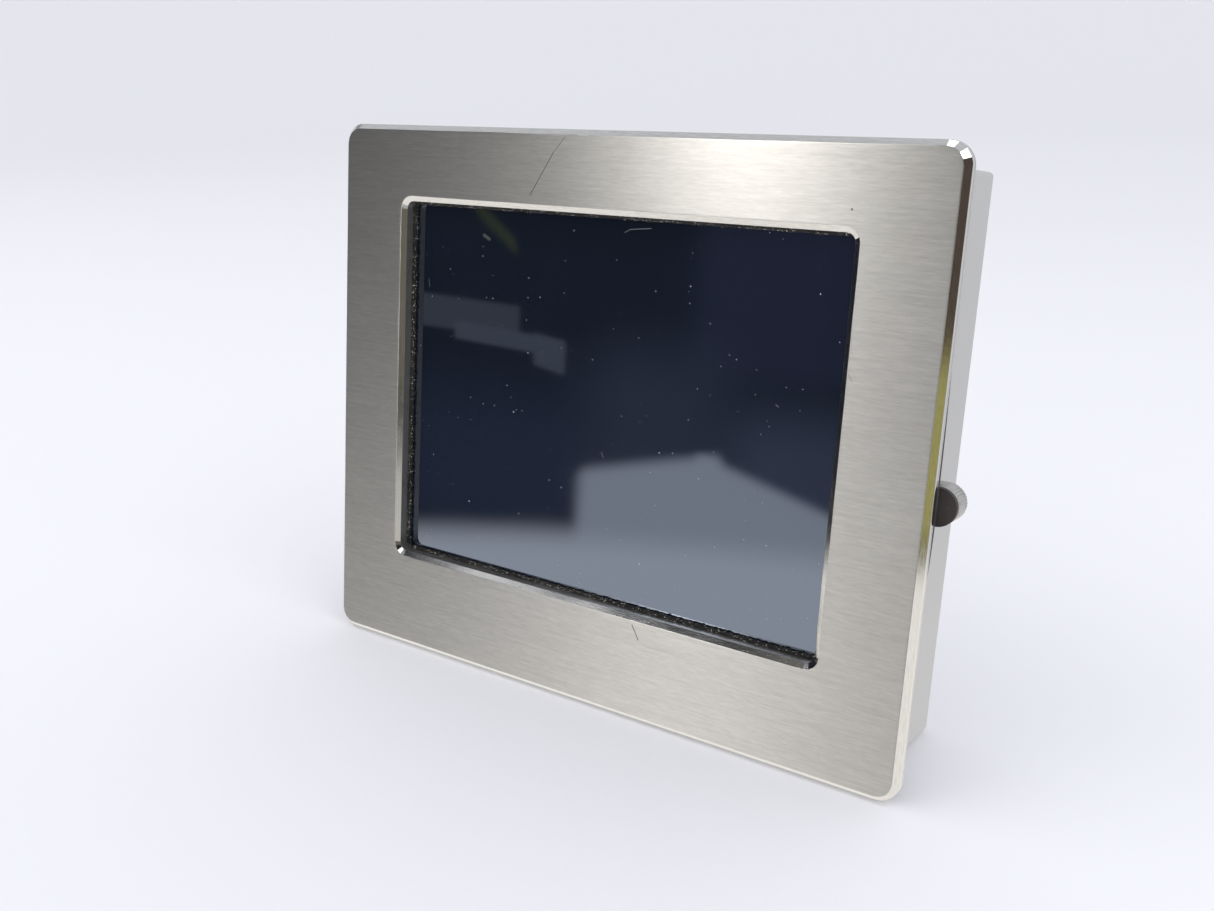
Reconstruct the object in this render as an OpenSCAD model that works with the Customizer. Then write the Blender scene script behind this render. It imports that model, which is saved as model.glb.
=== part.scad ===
// Flush-mounted touch panel: steel front plate, touch display, computer board and clamps.
// X is the panel's width, Z its height, and Y runs from the front to the back.
// The origin is the centre of the plate's back face, the plane in which the panel is mounted.

/* [Screen] */
// Width of the clear opening in the front plate
opening_w = 119.3; // [95:0.1:145]
// Height of the clear opening in the front plate
opening_h = 90.5; // [75:0.1:110]
// Corner radius of the clear opening
opening_r = 2; // [0.8:0.1:4]
// Width of the bevel round the opening
opening_bevel_w = 1.3; // [0.5:0.1:2]
// Depth of the bevel round the opening
opening_bevel_d = 0.8; // [0.3:0.1:1.5]
// How far the display module reaches past the opening on each side
display_lip = 5.85; // [4.5:0.05:9]
// Thickness of the foam seal between the plate and the touch screen
screen_gasket_t = 1; // [0.5:0.1:2]
// How much of the foam seal shows inside the opening
screen_gasket_show = 0.7; // [0.3:0.1:1.2]
// Thickness of the touch film
film_t = 0.2; // [0.1:0.05:0.4]
// Thickness of the touch glass
glass_t = 1.8; // [1:0.1:3]
// How far the touch glass reaches past the opening
glass_lip = 3.8; // [2.5:0.1:5]

/* [Display module] */
// Thickness of the foam seal between touch glass and display
display_gasket_t = 0.5; // [0.3:0.1:1]
// Wall of the metal bezel
bezel_t = 0.5; // [0.3:0.1:0.8]
// Width of the bezel's front rim
bezel_rim = 6.9; // [6.2:0.1:9]
// Thickness of the liquid crystal cell
cell_t = 1.5; // [1:0.1:2]
// Thickness of the stack of diffuser sheets
diffuser_t = 0.8; // [0.4:0.1:1.2]
// Thickness of the light guide
guide_t = 3.4; // [2:0.1:4]
// Thickness of the module's plastic tray
tray_t = 1.6; // [1:0.1:2.5]

/* [Front plate] */
// Thickness of the front plate
plate_t = 3.2; // [2.5:0.1:5]
// Width and depth of the polished edge bevel
edge_bevel = 1.3; // [0.5:0.1:1.8]
// Corner radius of the plate
plate_r = 5; // [3:0.1:9]
// Height of plate above the clear opening
border_top = 18.35; // [15.5:0.05:30]
// Height of plate below the clear opening
border_bottom = 25.75; // [21.5:0.05:40]
// How far the plate reaches past the housing on each side
rim_side = 5.05; // [4.2:0.05:8]
// How far the plate reaches past the housing at top and bottom
rim_end = 4.65; // [3.8:0.05:8]
// Thickness of the seal behind the rim
seal_t = 1.6; // [1:0.1:3]
// How far the seal is set in from the plate's edge
seal_inset = 1.2; // [0.4:0.05:2]
// How far the squeezed seal bows out beside each clamp
seal_bow = 1; // [0.1:0.1:1.5]
// Length of the bowed stretch above the clamp
seal_bow_up = 50; // [20:1:55]
// Length of the bowed stretch below the clamp
seal_bow_down = 26; // [15:1:50]

/* [Housing] */
// Sheet thickness of the housing
wall = 1.2; // [0.8:0.1:2]
// Outer bend radius of the housing's edges
bend_r = 1.5; // [1.3:0.1:3]
// Thickness of the carrier bracket
bracket_t = 1; // [0.8:0.1:1.6]
// Distance from the housing's wall to each pillar's centre
pillar_inset = 4.9; // [4:0.1:7]
// Width across the flats of a pillar
pillar_af = 5.5; // [4.5:0.1:7]
// Radius of the pillar threads and housing screws
m3_r = 1.5; // [1.25:0.05:2]
// Height of the connector bay
bay_h = 20.65; // [17:0.05:26]
// Distance from the bay's side to the housing's side
bay_side = 13.9; // [12.5:0.1:20]
// Length of a cooling slot
vent_l = 16; // [8:1:20]
// Width of a cooling slot
vent_w = 2.2; // [1:0.1:3]
// Distance between cooling slots
vent_pitch = 6.5; // [5:0.1:10]

/* [Board] */
// Height of the spacers under the board
spacer_h = 2; // [1.5:0.1:4]
// Thickness of the board
board_t = 1.6; // [1:0.1:2]
// Gap between the board's lower edge and the bay
board_gap = 0.8; // [0.4:0.1:2]
// Side of the processor
processor_w = 23; // [15:1:31]
// Side of the heat sink
sink_w = 32; // [26:1:36]
// Height of the heat sink
sink_h = 8.5; // [6:0.1:9]
// Radius of the button cell
cell_r = 10; // [8:0.1:12]

/* [Connectors] */
// Height of the network socket above the board
ethernet_h = 11.5; // [10.9:0.1:14]
// Width of the network socket
ethernet_w = 15.9; // [15.5:0.1:18]
// Width of the bus connector
usb_w = 13.1; // [12.9:0.1:15]
// Spacing of the serial connector's screw posts
post_pitch = 25; // [24:0.5:27]
// Number of poles of the power plug
poles = 3; // [2:1:3]
// Distance between the poles
pole_pitch = 3.81; // [3.5:0.01:3.81]
// Width of the memory card
card_w = 24; // [20:0.1:24]
// Length of the memory card
card_l = 32; // [24:0.1:34]
// Thickness of the memory card
card_t = 2.1; // [1.4:0.1:2.5]
// Radius of the earth stud
earth_r = 2; // [1.5:0.1:3]

/* [Clamps] */
// Height of the clamps above the plate's centre line
clamp_rise = -4; // [-10:0.5:2]
// Width of a clamp pawl and of its round end
pawl_w = 8.1; // [7.8:0.1:11]
// Distance from a pawl's pivot to the centre of its round end
pawl_reach = 10; // [9.5:0.1:14]
// Thickness of the pawl's metal arm
pawl_t = 5.7; // [4:0.1:8]
// Thickness of the pawl's pad
pad_t = 1.2; // [0.8:0.1:2]
// Travel of a clamp along its screw
clamp_travel = 6.5; // [4:0.1:7]
// How far back from its forward stop a clamp stands
clamp_rest = 1.9; // [0:0.1:4]
// Radius of a clamp screw
screw_r = 2; // [1.5:0.05:2.2]
// Free space on each side of a folded pawl
pawl_gap = 0.55; // [0.4:0.05:1]

/* [Fits] */
// Radial clearance of parts that turn or slide in each other
run_gap = 0.06; // [0.02:0.01:0.1]
// Gap between parts that pass each other
pass_gap = 0.3; // [0.2:0.05:0.5]
// Gap round a connector in its cut-out
port_gap = 0.2; // [0.1:0.05:0.4]

/* [Hidden] */
$fn = 48;
SLIP = 0.01;

// Depths, from the plate's back face towards the rear
film_y = screen_gasket_t;
glass_y = film_y + film_t;
display_gasket_y = glass_y + glass_t;
bezel_y = display_gasket_y + display_gasket_t;
cell_y = bezel_y + bezel_t;
diffuser_y = cell_y + cell_t + 0.2;
guide_y = diffuser_y + diffuser_t + 0.1;
tray_y = guide_y + guide_t + 0.1;
bracket_y = tray_y + tray_t;
spacer_y = bracket_y + bracket_t;
board_y = spacer_y + spacer_h;
parts_y = board_y + board_t;
back_y = parts_y + ethernet_h + 0.4;
housing_d = back_y + wall;
bay_y = board_y + 0.3;

// Widths and heights, from the opening outwards
opening_z = (border_bottom - border_top) / 2;
display_w = opening_w + 2 * display_lip;
display_h = opening_h + 2 * display_lip;
glass_w = opening_w + 2 * glass_lip;
glass_h = opening_h + 2 * glass_lip;
clamp_room = pawl_w + 2 * pawl_gap;
inner_w = display_w + 2 * clamp_room;
housing_w = inner_w + 2 * wall;
frame_w = housing_w + 2 * rim_side;
frame_h = opening_h + border_top + border_bottom;
housing_h = frame_h - 2 * rim_end;
inner_h = housing_h - 2 * wall;
pillar_x = inner_w / 2 - pillar_inset;
pillar_z = inner_h / 2 - pillar_inset;
pillar_r = pillar_af / 2 / cos(30);

// Connector bay and board
card_socket_l = card_l - 2;
bay_z = -housing_h / 2 + bay_h;
bay_w = housing_w - 2 * bay_side;
board_bottom = bay_z + wall + board_gap;
board_top = inner_h / 2 - 12;
board_w = bay_w - 2 * wall - 1;
board_h = board_top - board_bottom;
board_z = (board_top + board_bottom) / 2;
board_hole_x = board_w / 2 - 6;
board_hole_z = [bay_z + card_socket_l + 6, board_top - 6];

// Connectors, side by side along the bay
plug_w = (poles - 1) * pole_pitch + 5.4;
header_w = plug_w + 1.6;
serial_w = post_pitch + 5.8;
card_socket_w = card_w + 2;
switch_w = 8;
port_widths = [header_w, serial_w, ethernet_w, usb_w, switch_w, card_socket_w];
port_names = ["power", "serial", "ethernet", "usb", "mode", "card"];
function total(v, n) = n == 0 ? 0 : v[n - 1] + total(v, n - 1);
port_space = (bay_w - 2 * wall - total(port_widths, 6)) / 7;
function port_x(name) =
    let (i = search([name], port_names)[0])
    -bay_w / 2 + wall + (i + 1) * port_space + total(port_widths, i) + port_widths[i] / 2;
port_face = bay_z + port_gap;
plug_h = 11.1;
plug_in = 7;
plug_out = 8.2;
plug_cy = parts_y + plug_h / 2 + 0.2;
header_z = port_face + 9;
serial_cy = parts_y + ethernet_h / 2;
card_y = parts_y + 0.7;
card_out = 2;
earth_y = housing_d;
earth_x = -(bay_w + bay_side) / 2;
earth_z = bay_z + 12;
nut_h = 3.2;
washer_h = 0.8;
stud_l = 9;
rivet_r = 1.2;
lever_l = 4.5;
lever_w = 2;
lever_travel = 2;
button_x = port_x("usb");
button_z = board_bottom + 22;
button_r = 1.9;
button_travel = 1;
switch_h = 3.5;
lamp_r = 1.5;
lamp_x = [button_x + 9, button_x + 15];

// Clamps
pivot_x = display_w / 2 + clamp_room / 2 - 0.1;
pad_y = seal_t + pass_gap + clamp_rest;
pawl_y = pad_y + pad_t;
nut_y = pawl_y + pawl_t + 0.1;
clamp_nut_t = 5;
clamp_nut_w = 7;
collar_r = screw_r + 0.9;
ring_t = 0.45;
tongue_w = 3;
tongue_d = 3.5;
guide_wall = 1.8;
nut_low = nut_y - clamp_rest;
slot_end = nut_low + clamp_travel + pass_gap;
slot_low = pawl_w / 2 + 0.4;
slot_high = pawl_reach + pawl_w / 2 + 0.2;

// Outline with round corners
module rounded(w, h, r) {
    square([w - 2 * r, h], center = true);
    square([w, h - 2 * r], center = true);
    for (x = [-1, 1], z = [-1, 1])
        translate([x * (w / 2 - r), z * (h / 2 - r)]) circle(r);
}

// Flat outline in X and Z, given a thickness from y0 back to y1
module deep(y0, y1) {
    translate([0, y1, 0]) rotate([90, 0, 0]) linear_extrude(y1 - y0) children();
}

// Straight round rod along Y
module rod(r, y0, y1) {
    translate([0, y1, 0]) rotate([90, 0, 0]) cylinder(r = r, h = y1 - y0);
}

// Box from one corner to the opposite one
module box(low, high) {
    translate(low) cube(high - low);
}

// Flat ring with a round-cornered outside and inside
module frame_outline(w, h, r, inner_w, inner_h, inner_r) {
    difference() {
        rounded(w, h, r);
        rounded(inner_w, inner_h, inner_r);
    }
}

// Block with round corners whose front and back edges are set in by different amounts
module tapered(w, h, r, in_front, in_back, y0, y1) {
    flat_w = w - 2 * r;
    flat_h = h - 2 * r;
    for (x = [-1, 1], z = [-1, 1])
        translate([x * flat_w / 2, y1, z * flat_h / 2]) rotate([90, 0, 0])
            cylinder(r1 = r - in_back, r2 = r - in_front, h = y1 - y0);
    linear_extrude(flat_h, center = true)
        polygon([[-w / 2 + in_front, y0], [w / 2 - in_front, y0],
                 [w / 2 - in_back, y1], [-w / 2 + in_back, y1]]);
    rotate([90, 0, 90]) linear_extrude(flat_w, center = true)
        polygon([[y0, -h / 2 + in_front], [y1, -h / 2 + in_back],
                 [y1, h / 2 - in_back], [y0, h / 2 - in_front]]);
}

// Places its children at each pillar
module at_pillars() {
    for (x = [-1, 1], z = [-1, 1])
        translate([x * pillar_x, 0, z * pillar_z]) children();
}

// Places its children at each board screw
module at_board_holes() {
    for (x = [-1, 1], z = board_hole_z)
        translate([x * board_hole_x, 0, z]) children();
}

// Places its children at each rivet of the connector bay
module at_rivets() {
    for (x = [-1, 1])
        translate([x * (bay_w / 2 + 2.6), 0, (bay_z - inner_h / 2) / 2 + 6]) children();
}

// Pan head with a cross recess, its flat side at y and its dome towards the rear
module pan_head(r, h, y) {
    difference() {
        union() {
            rod(r, y, y + h * 0.6);
            translate([0, y + h, 0]) rotate([90, 0, 0]) cylinder(r1 = r * 0.72, r2 = r, h = h * 0.4);
        }
        box([-r * 0.55, y + h * 0.45, -r * 0.1], [r * 0.55, y + h + 1, r * 0.1]);
        box([-r * 0.1, y + h * 0.45, -r * 0.55], [r * 0.1, y + h + 1, r * 0.55]);
    }
}

// ---- Front ----

module front_frame() {
    color("lightgray") difference() {
        union() {
            tapered(frame_w, frame_h, plate_r, edge_bevel, 0, -plate_t, edge_bevel - plate_t);
            tapered(frame_w, frame_h, plate_r, 0, 0, edge_bevel - plate_t, 0);
        }
        translate([0, 0, opening_z]) {
            deep(-plate_t - 1, 1) rounded(opening_w, opening_h, opening_r);
            tapered(opening_w + 4 * opening_bevel_w, opening_h + 4 * opening_bevel_w,
                    opening_r + 2 * opening_bevel_w, 0, 2 * opening_bevel_w,
                    -plate_t - opening_bevel_d, -plate_t + opening_bevel_d);
        }
    }
}

module screen_gasket() {
    color([0.1, 0.1, 0.1]) translate([0, 0, opening_z]) deep(0, screen_gasket_t)
        frame_outline(glass_w, glass_h, 1.5, opening_w - 2 * screen_gasket_show,
                      opening_h - 2 * screen_gasket_show, opening_r - screen_gasket_show);
}

// Bulge beyond the seal's straight edge: a parabola with a longer upper half
module seal_bulge() {
    steps = 14;
    polygon(concat([[-1, -seal_bow_down], [0, -seal_bow_down]],
                   [for (i = [1 - steps : steps - 1])
                        let (t = i / steps)
                        [seal_bow * (1 - t * t), t * (i > 0 ? seal_bow_up : seal_bow_down)]],
                   [[0, seal_bow_up], [-1, seal_bow_up]]));
}

module mounting_gasket() {
    outer_w = frame_w - 2 * seal_inset;
    outer_h = frame_h - 2 * seal_inset;
    color([0.08, 0.08, 0.08]) deep(0, seal_t) {
        frame_outline(outer_w, outer_h, plate_r - seal_inset,
                      housing_w + 0.4, housing_h + 0.4, bend_r);
        for (side = [0, 1])
            mirror([side, 0]) translate([outer_w / 2, clamp_rise]) seal_bulge();
    }
}

module touch_film() {
    color([0.1, 0.13, 0.18]) translate([0, 0, opening_z]) deep(film_y, glass_y)
        rounded(glass_w, glass_h, 1);
}

module touch_glass() {
    color([0.25, 0.3, 0.35]) translate([0, 0, opening_z]) deep(glass_y, display_gasket_y)
        rounded(glass_w, glass_h, 1);
}

// Flat lead: down from the glass, back under the display and up to the board
module touch_tail() {
    tail_w = 16;
    tail_t = 0.2;
    top = opening_z - glass_h / 2;
    low = opening_z - display_h / 2 - 1.8;
    turn_y = spacer_y + 0.6;
    color("goldenrod") {
        box([-tail_w / 2, film_y + film_t, low], [tail_w / 2, film_y + film_t + tail_t, top]);
        box([-tail_w / 2, film_y + film_t, low - tail_t], [tail_w / 2, turn_y, low]);
        box([-tail_w / 2, turn_y - tail_t, low - tail_t],
            [tail_w / 2, turn_y, board_bottom + 3]);
    }
}

// ---- Display module ----

module display_gasket() {
    color([0.15, 0.15, 0.15]) translate([0, 0, opening_z])
        deep(display_gasket_y, bezel_y)
            frame_outline(glass_w, glass_h, 1, opening_w - 1, opening_h - 1, 1);
}

module display_bezel() {
    color("silver") translate([0, 0, opening_z]) difference() {
        deep(bezel_y, tray_y + 1) rounded(display_w, display_h, 1);
        deep(bezel_y + bezel_t, tray_y + 2)
            rounded(display_w - 2 * bezel_t, display_h - 2 * bezel_t, 0.6);
        deep(bezel_y - 1, bezel_y + 1)
            rounded(display_w - 2 * bezel_rim, display_h - 2 * bezel_rim, 0.6);
    }
}

module display_cell() {
    color([0.12, 0.14, 0.2]) translate([0, 0, opening_z]) deep(cell_y, cell_y + cell_t)
        rounded(display_w - 6, display_h - 6, 0.5);
}

module diffuser_sheets() {
    color("whitesmoke") translate([0, 0, opening_z])
        deep(diffuser_y, diffuser_y + diffuser_t) rounded(display_w - 6, display_h - 8, 0.5);
}

module light_guide() {
    color("white") translate([0, 0, opening_z + 1.5]) deep(guide_y, guide_y + guide_t)
        rounded(display_w - 6, display_h - 9, 0.5);
}

// Row of lamps along the light guide's lower edge
module backlight_strip() {
    lamps = 12;
    pitch = (display_w - 16) / (lamps - 1);
    low = opening_z - display_h / 2 + 1.2;
    color("khaki") {
        box([-display_w / 2 + 4, guide_y, low], [display_w / 2 - 4, guide_y + guide_t, low + 1]);
        for (i = [0 : lamps - 1])
            translate([(i - (lamps - 1) / 2) * pitch, 0, 0])
                box([-1.5, guide_y + 0.5, low + 1], [1.5, guide_y + guide_t - 0.5, low + 3]);
    }
}

module display_tray() {
    color("gainsboro") translate([0, 0, opening_z]) difference() {
        deep(tray_y, bracket_y)
            rounded(display_w - 2 * bezel_t - 0.4, display_h - 2 * bezel_t - 0.4, 0.5);
        for (x = [-1 : 1])
            translate([x * display_w / 4, 0, display_h / 5])
                deep(tray_y + tray_t / 2, bracket_y + 1)
                    rounded(display_w / 5, display_h / 4, 1);
    }
}

// Flat lead from the display's back through the bracket to the board
module display_cable() {
    cable_w = 20;
    cable_x = display_w / 4;
    low = opening_z + display_h / 5 - 6;
    color("peru") {
        box([cable_x - cable_w / 2, bracket_y, low],
            [cable_x + cable_w / 2, spacer_y + 0.7, low + 0.3]);
        box([cable_x - cable_w / 2, spacer_y + 0.5, low],
            [cable_x + cable_w / 2, spacer_y + 0.7, low + 12]);
    }
}

// ---- Frame and housing ----

module frame_studs() {
    color("gray") at_pillars() {
        rod(m3_r, 0, 6);
    }
}

module lower_pillars() {
    color("darkgoldenrod") at_pillars() difference() {
        translate([0, bracket_y, 0]) rotate([90, 0, 0]) cylinder(r = pillar_r, h = bracket_y, $fn = 6);
        rod(m3_r, -1, bracket_y + 1);
    }
}

module carrier_bracket() {
    edge = 0.8;
    notch_x = display_w / 2 - 0.3;
    notch_low = clamp_rise - slot_low - 5.2;
    notch_high = clamp_rise + slot_high + 1;
    tail_z = opening_z - display_h / 2 - 1.9;
    tab_w = 9;
    color("lightsteelblue") {
        difference() {
            deep(bracket_y, spacer_y)
                rounded(inner_w - 2 * edge, inner_h - 2 * edge, 2);
            for (side = [-1, 1])
                translate([side * inner_w / 2, 0, 0])
                    box([-inner_w / 2 + notch_x, bracket_y - 1, notch_low],
                        [inner_w / 2 - notch_x, spacer_y + 1, notch_high]);
            for (x = [-1 : 1])
                translate([x * display_w / 4, 0, opening_z + display_h / 5])
                    deep(bracket_y - 1, spacer_y + 1)
                        rounded(display_w / 5, display_h / 4, 1);
            deep(bracket_y - 1, spacer_y + 1) translate([0, tail_z]) rounded(20, 2.4, 0.6);
            at_pillars() rod(m3_r + 0.1, bracket_y - 1, spacer_y + 1);
        }
        for (x = [-1, 1], z = [-1, 1])
            translate([x * display_w / 3, 0, opening_z + z * (display_h / 2 + 0.2 + bracket_t / 2)])
                box([-tab_w / 2, bracket_y - 4, -bracket_t / 2],
                    [tab_w / 2, bracket_y + SLIP, bracket_t / 2]);
    }
}

module upper_pillars() {
    color("darkgoldenrod") at_pillars() difference() {
        union() {
            translate([0, back_y, 0]) rotate([90, 0, 0])
                cylinder(r = pillar_r, h = back_y - spacer_y, $fn = 6);
            rod(m3_r, bracket_y - 4, spacer_y + SLIP);
        }
        rod(m3_r, back_y - 10, back_y + 1);
    }
}

// Side view of a box whose rear edges are bent round
module bent_profile(w, y1, r) {
    translate([-w / 2, 0]) square([w, y1 - r]);
    translate([-w / 2 + r, 0]) square([w - 2 * r, y1]);
    for (x = [-1, 1])
        translate([x * (w / 2 - r), y1 - r]) circle(r);
}

// Box with bent edges, open to nothing
module bent_box(w, h, y1, r) {
    intersection() {
        deep(0, y1) rounded(w, h, r);
        linear_extrude(h + 2, center = true) bent_profile(w, y1, r);
        rotate([90, 0, 90]) linear_extrude(w + 2, center = true)
            rotate(-90) mirror([1, 0]) bent_profile(h, y1, r);
    }
}

// Outline of the space that a pawl sweeps through the housing's side
module pawl_slot() {
    translate([0, 0, clamp_rise])
        box([inner_w / 2 - 1, -1, -slot_low], [housing_w / 2 + 1, slot_end, slot_high]);
}

module rear_housing() {
    rows = floor((bay_w - 10) / vent_pitch);
    color([0.72, 0.72, 0.73]) difference() {
        bent_box(housing_w, housing_h, housing_d, bend_r);
        bent_box(inner_w, inner_h, back_y, bend_r - wall + SLIP);
        deep(-1, 1) rounded(inner_w, inner_h, bend_r - wall + SLIP);
        box([-bay_w / 2, bay_y, -housing_h / 2 - 1], [bay_w / 2, housing_d + 1, bay_z]);
        for (side = [0, 1]) mirror([side, 0, 0]) {
            pawl_slot();
            translate([pivot_x, 0, clamp_rise]) rod(screw_r + run_gap, back_y - 1, housing_d + 1);
        }
        at_pillars() rod(m3_r + 0.15, back_y - 1, housing_d + 1);
        for (i = [0 : rows - 1])
            translate([(i - (rows - 1) / 2) * vent_pitch, 0, 0]) {
                translate([0, 0, board_top - vent_l / 2 - 2])
                    deep(back_y - 1, housing_d + 1) rounded(vent_w, vent_l, vent_w / 2 - SLIP);
                translate([0, (bracket_y + housing_d) / 2, inner_h / 2 - 1])
                    linear_extrude(wall + 2) rounded(vent_w, 9, vent_w / 2 - SLIP);
            }
        translate([button_x, 0, button_z]) rod(button_r + pass_gap, back_y - 1, housing_d + 1);
        for (x = lamp_x)
            translate([x, 0, button_z]) rod(lamp_r + 0.1, back_y - 1, housing_d + 1);
        translate([earth_x, 0, earth_z]) rod(earth_r, back_y - 1, housing_d + 1);
        at_rivets() rod(rivet_r, back_y - 1, housing_d + 1);
    }
}

module housing_screws() {
    color("silver") at_pillars() {
        rod(m3_r, back_y - 6, housing_d + SLIP);
        pan_head(2.75, 2, housing_d);
    }
}

// Cut-out for one connector in the bay's ceiling
module port_cut(name, w, y0, y1) {
    translate([port_x(name), 0, 0])
        box([-w / 2 - port_gap, y0 - port_gap, bay_z - 1],
            [w / 2 + port_gap, y1 + port_gap, bay_z + wall + 1]);
}

// Folded sheet that makes the bay: ceiling with the ports, front wall and two cheeks
module connector_bay() {
    half = bay_w / 2;
    low = -inner_h / 2;
    color([0.66, 0.66, 0.68]) difference() {
        union() {
            box([-half, bay_y, bay_z], [half, back_y, bay_z + wall]);
            box([-half, bay_y, low], [half, bay_y + wall, bay_z + SLIP]);
            for (side = [0, 1]) mirror([side, 0, 0]) {
                box([half - wall, bay_y, low], [half, back_y, bay_z + SLIP]);
                box([half, back_y - wall, low + 14], [half + 5, back_y, bay_z]);
            }
        }
        port_cut("power", header_w, parts_y, parts_y + plug_h + 0.4);
        port_cut("serial", 17, serial_cy - 4.3, serial_cy + 4.3);
        for (x = [-1, 1])
            translate([port_x("serial") + x * post_pitch / 2, serial_cy, bay_z - 1])
                cylinder(r = 1.6, h = wall + 2);
        port_cut("ethernet", ethernet_w, parts_y, parts_y + ethernet_h);
        port_cut("usb", usb_w, parts_y, parts_y + 5.8);
        port_cut("mode", lever_w + lever_travel, parts_y + 0.9, parts_y + 3.1);
        port_cut("card", card_w, card_y, card_y + card_t);
        at_rivets() rod(rivet_r, back_y - wall - 1, back_y + 1);
    }
}

module bay_rivets() {
    color("darkgray") at_rivets() {
        rod(rivet_r, back_y - wall, housing_d + SLIP);
        rod(rivet_r + 1, housing_d, housing_d + 0.6);
        rod(rivet_r + 0.6, back_y - wall - 0.6, back_y - wall);
    }
}

module rating_plate() {
    color("whitesmoke") translate([-10, 0, board_z + 2]) deep(housing_d, housing_d + 0.3)
        rounded(62, 26, 2);
}

// ---- Earth connection ----

// Headed stud, with a thread undercut between the nut and its free end
module earth_stud() {
    undercut_y = earth_y + washer_h + nut_h + 0.7;
    color("silver") translate([earth_x, 0, earth_z]) {
        rod(earth_r, back_y - SLIP, earth_y + washer_h + nut_h);
        rod(earth_r - 0.2, back_y, undercut_y);
        rod(earth_r, undercut_y, earth_y + stud_l);
        rod(earth_r + 1.2, back_y - 0.6, back_y);
    }
}

module earth_washer() {
    color("silver") translate([earth_x, 0, earth_z]) difference() {
        rod(2.2 * earth_r, earth_y, earth_y + washer_h);
        rod(earth_r, earth_y - 1, earth_y + washer_h + 1);
    }
}

module earth_nut() {
    color("silver") translate([earth_x, 0, earth_z]) difference() {
        translate([0, earth_y + washer_h + nut_h, 0]) rotate([90, 0, 0])
            cylinder(r = 2 * earth_r, h = nut_h, $fn = 6);
        rod(earth_r, earth_y, earth_y + washer_h + nut_h + 1);
    }
}

// ---- Board ----

module board_spacers() {
    color("silver") at_board_holes() difference() {
        rod(2.5, spacer_y, board_y);
        rod(m3_r, spacer_y - 1, board_y + 1);
    }
}

module main_board() {
    color("darkgreen") difference() {
        translate([0, 0, board_z]) deep(board_y, parts_y) rounded(board_w, board_h, 1.5);
        at_board_holes() rod(m3_r + 0.1, board_y - 1, parts_y + 1);
    }
}

module board_screws() {
    color("silver") at_board_holes() {
        rod(m3_r, spacer_y + 0.1, parts_y + SLIP);
        pan_head(2.6, 1.8, parts_y);
    }
}

// Sockets for the two flat leads, on the board's front
module board_connectors() {
    color("ivory") {
        box([-10, spacer_y + 0.7, board_bottom + 1], [10, board_y, board_bottom + 5]);
        translate([display_w / 4, 0, opening_z + display_h / 5 + 3])
            box([-12, spacer_y + 0.8, 0], [12, board_y, 4]);
    }
}

module processor() {
    color([0.15, 0.15, 0.16]) translate([-5, 0, board_z + 8]) deep(parts_y, parts_y + 1.4)
        rounded(processor_w, processor_w, 0.5);
}

module heat_sink() {
    fins = 8;
    fin_t = 1.2;
    pitch = (sink_w - fin_t) / (fins - 1);
    base_y = parts_y + 1.5;
    color("silver") translate([-5, 0, board_z + 8]) {
        deep(base_y, base_y + 2) square(sink_w, center = true);
        for (i = [0 : fins - 1])
            translate([(i - (fins - 1) / 2) * pitch, 0, 0])
                box([-fin_t / 2, base_y + 2 - SLIP, -sink_w / 2],
                    [fin_t / 2, parts_y + sink_h, sink_w / 2]);
    }
}

module memory_chips() {
    color([0.12, 0.12, 0.13]) for (z = [-1, 1])
        translate([-5 + sink_w / 2 + 9, 0, board_z + 8 + z * 9]) deep(parts_y, parts_y + 1.2)
            square([9, 13], center = true);
}

module capacitors() {
    color("slategray") for (i = [0 : 3])
        translate([13.5 + 9 * (i % 2) - board_w / 2, 0, board_z + 2 + 9 * floor(i / 2)]) {
            rod(3.15, parts_y, parts_y + 7.7);
            deep(parts_y, parts_y + 0.8) square(6.6, center = true);
        }
}

module power_coils() {
    color([0.25, 0.25, 0.26]) for (i = [0 : 1])
        translate([14 + 10 * i - board_w / 2, 0, board_z - 10]) deep(parts_y, parts_y + 4)
            rounded(8, 8, 1.5);
}

module battery_holder() {
    color([0.2, 0.2, 0.2]) translate([board_w / 2 - 19, 0, board_z + 16]) difference() {
        rod(cell_r + 1.5, parts_y, parts_y + 4.4);
        rod(cell_r + 0.1, parts_y + 0.8, parts_y + 5);
        box([-3, parts_y + 0.8, -cell_r - 2], [3, parts_y + 5, 0]);
    }
}

module battery() {
    color("silver") translate([board_w / 2 - 19, 0, board_z + 16]) {
        rod(cell_r, parts_y + 0.8, parts_y + 3.6);
        rod(cell_r - 1, parts_y + 3.6 - SLIP, parts_y + 4);
    }
}

// ---- Ports ----

module power_header() {
    color("darkgreen") translate([port_x("power"), 0, 0]) difference() {
        box([-header_w / 2, parts_y, port_face], [header_w / 2, parts_y + plug_h + 0.4, header_z]);
        box([-plug_w / 2 - run_gap, plug_cy - plug_h / 2 + 1.2 - run_gap, port_face - 1],
            [plug_w / 2 + run_gap, plug_cy + plug_h / 2 - 1.2 + run_gap, port_face + plug_in + 0.1]);
    }
}

module power_plug() {
    top = port_face - 0.3;
    color("forestgreen") translate([port_x("power"), 0, 0]) difference() {
        union() {
            box([-plug_w / 2, plug_cy - plug_h / 2 + 1.2, top - SLIP],
                [plug_w / 2, plug_cy + plug_h / 2 - 1.2, port_face + plug_in]);
            box([-plug_w / 2, plug_cy - plug_h / 2, top - plug_out],
                [plug_w / 2, plug_cy + plug_h / 2, top]);
        }
        for (i = [0 : poles - 1])
            translate([(i - (poles - 1) / 2) * pole_pitch, 0, 0]) {
                translate([0, plug_cy - 1.8, top - plug_out - 1]) cylinder(r = 1.2, h = 6);
                translate([0, 0, top - plug_out / 2])
                    rod(1.3, plug_cy + plug_h / 2 - 2.5, plug_cy + plug_h / 2 + 1);
            }
    }
}

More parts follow.
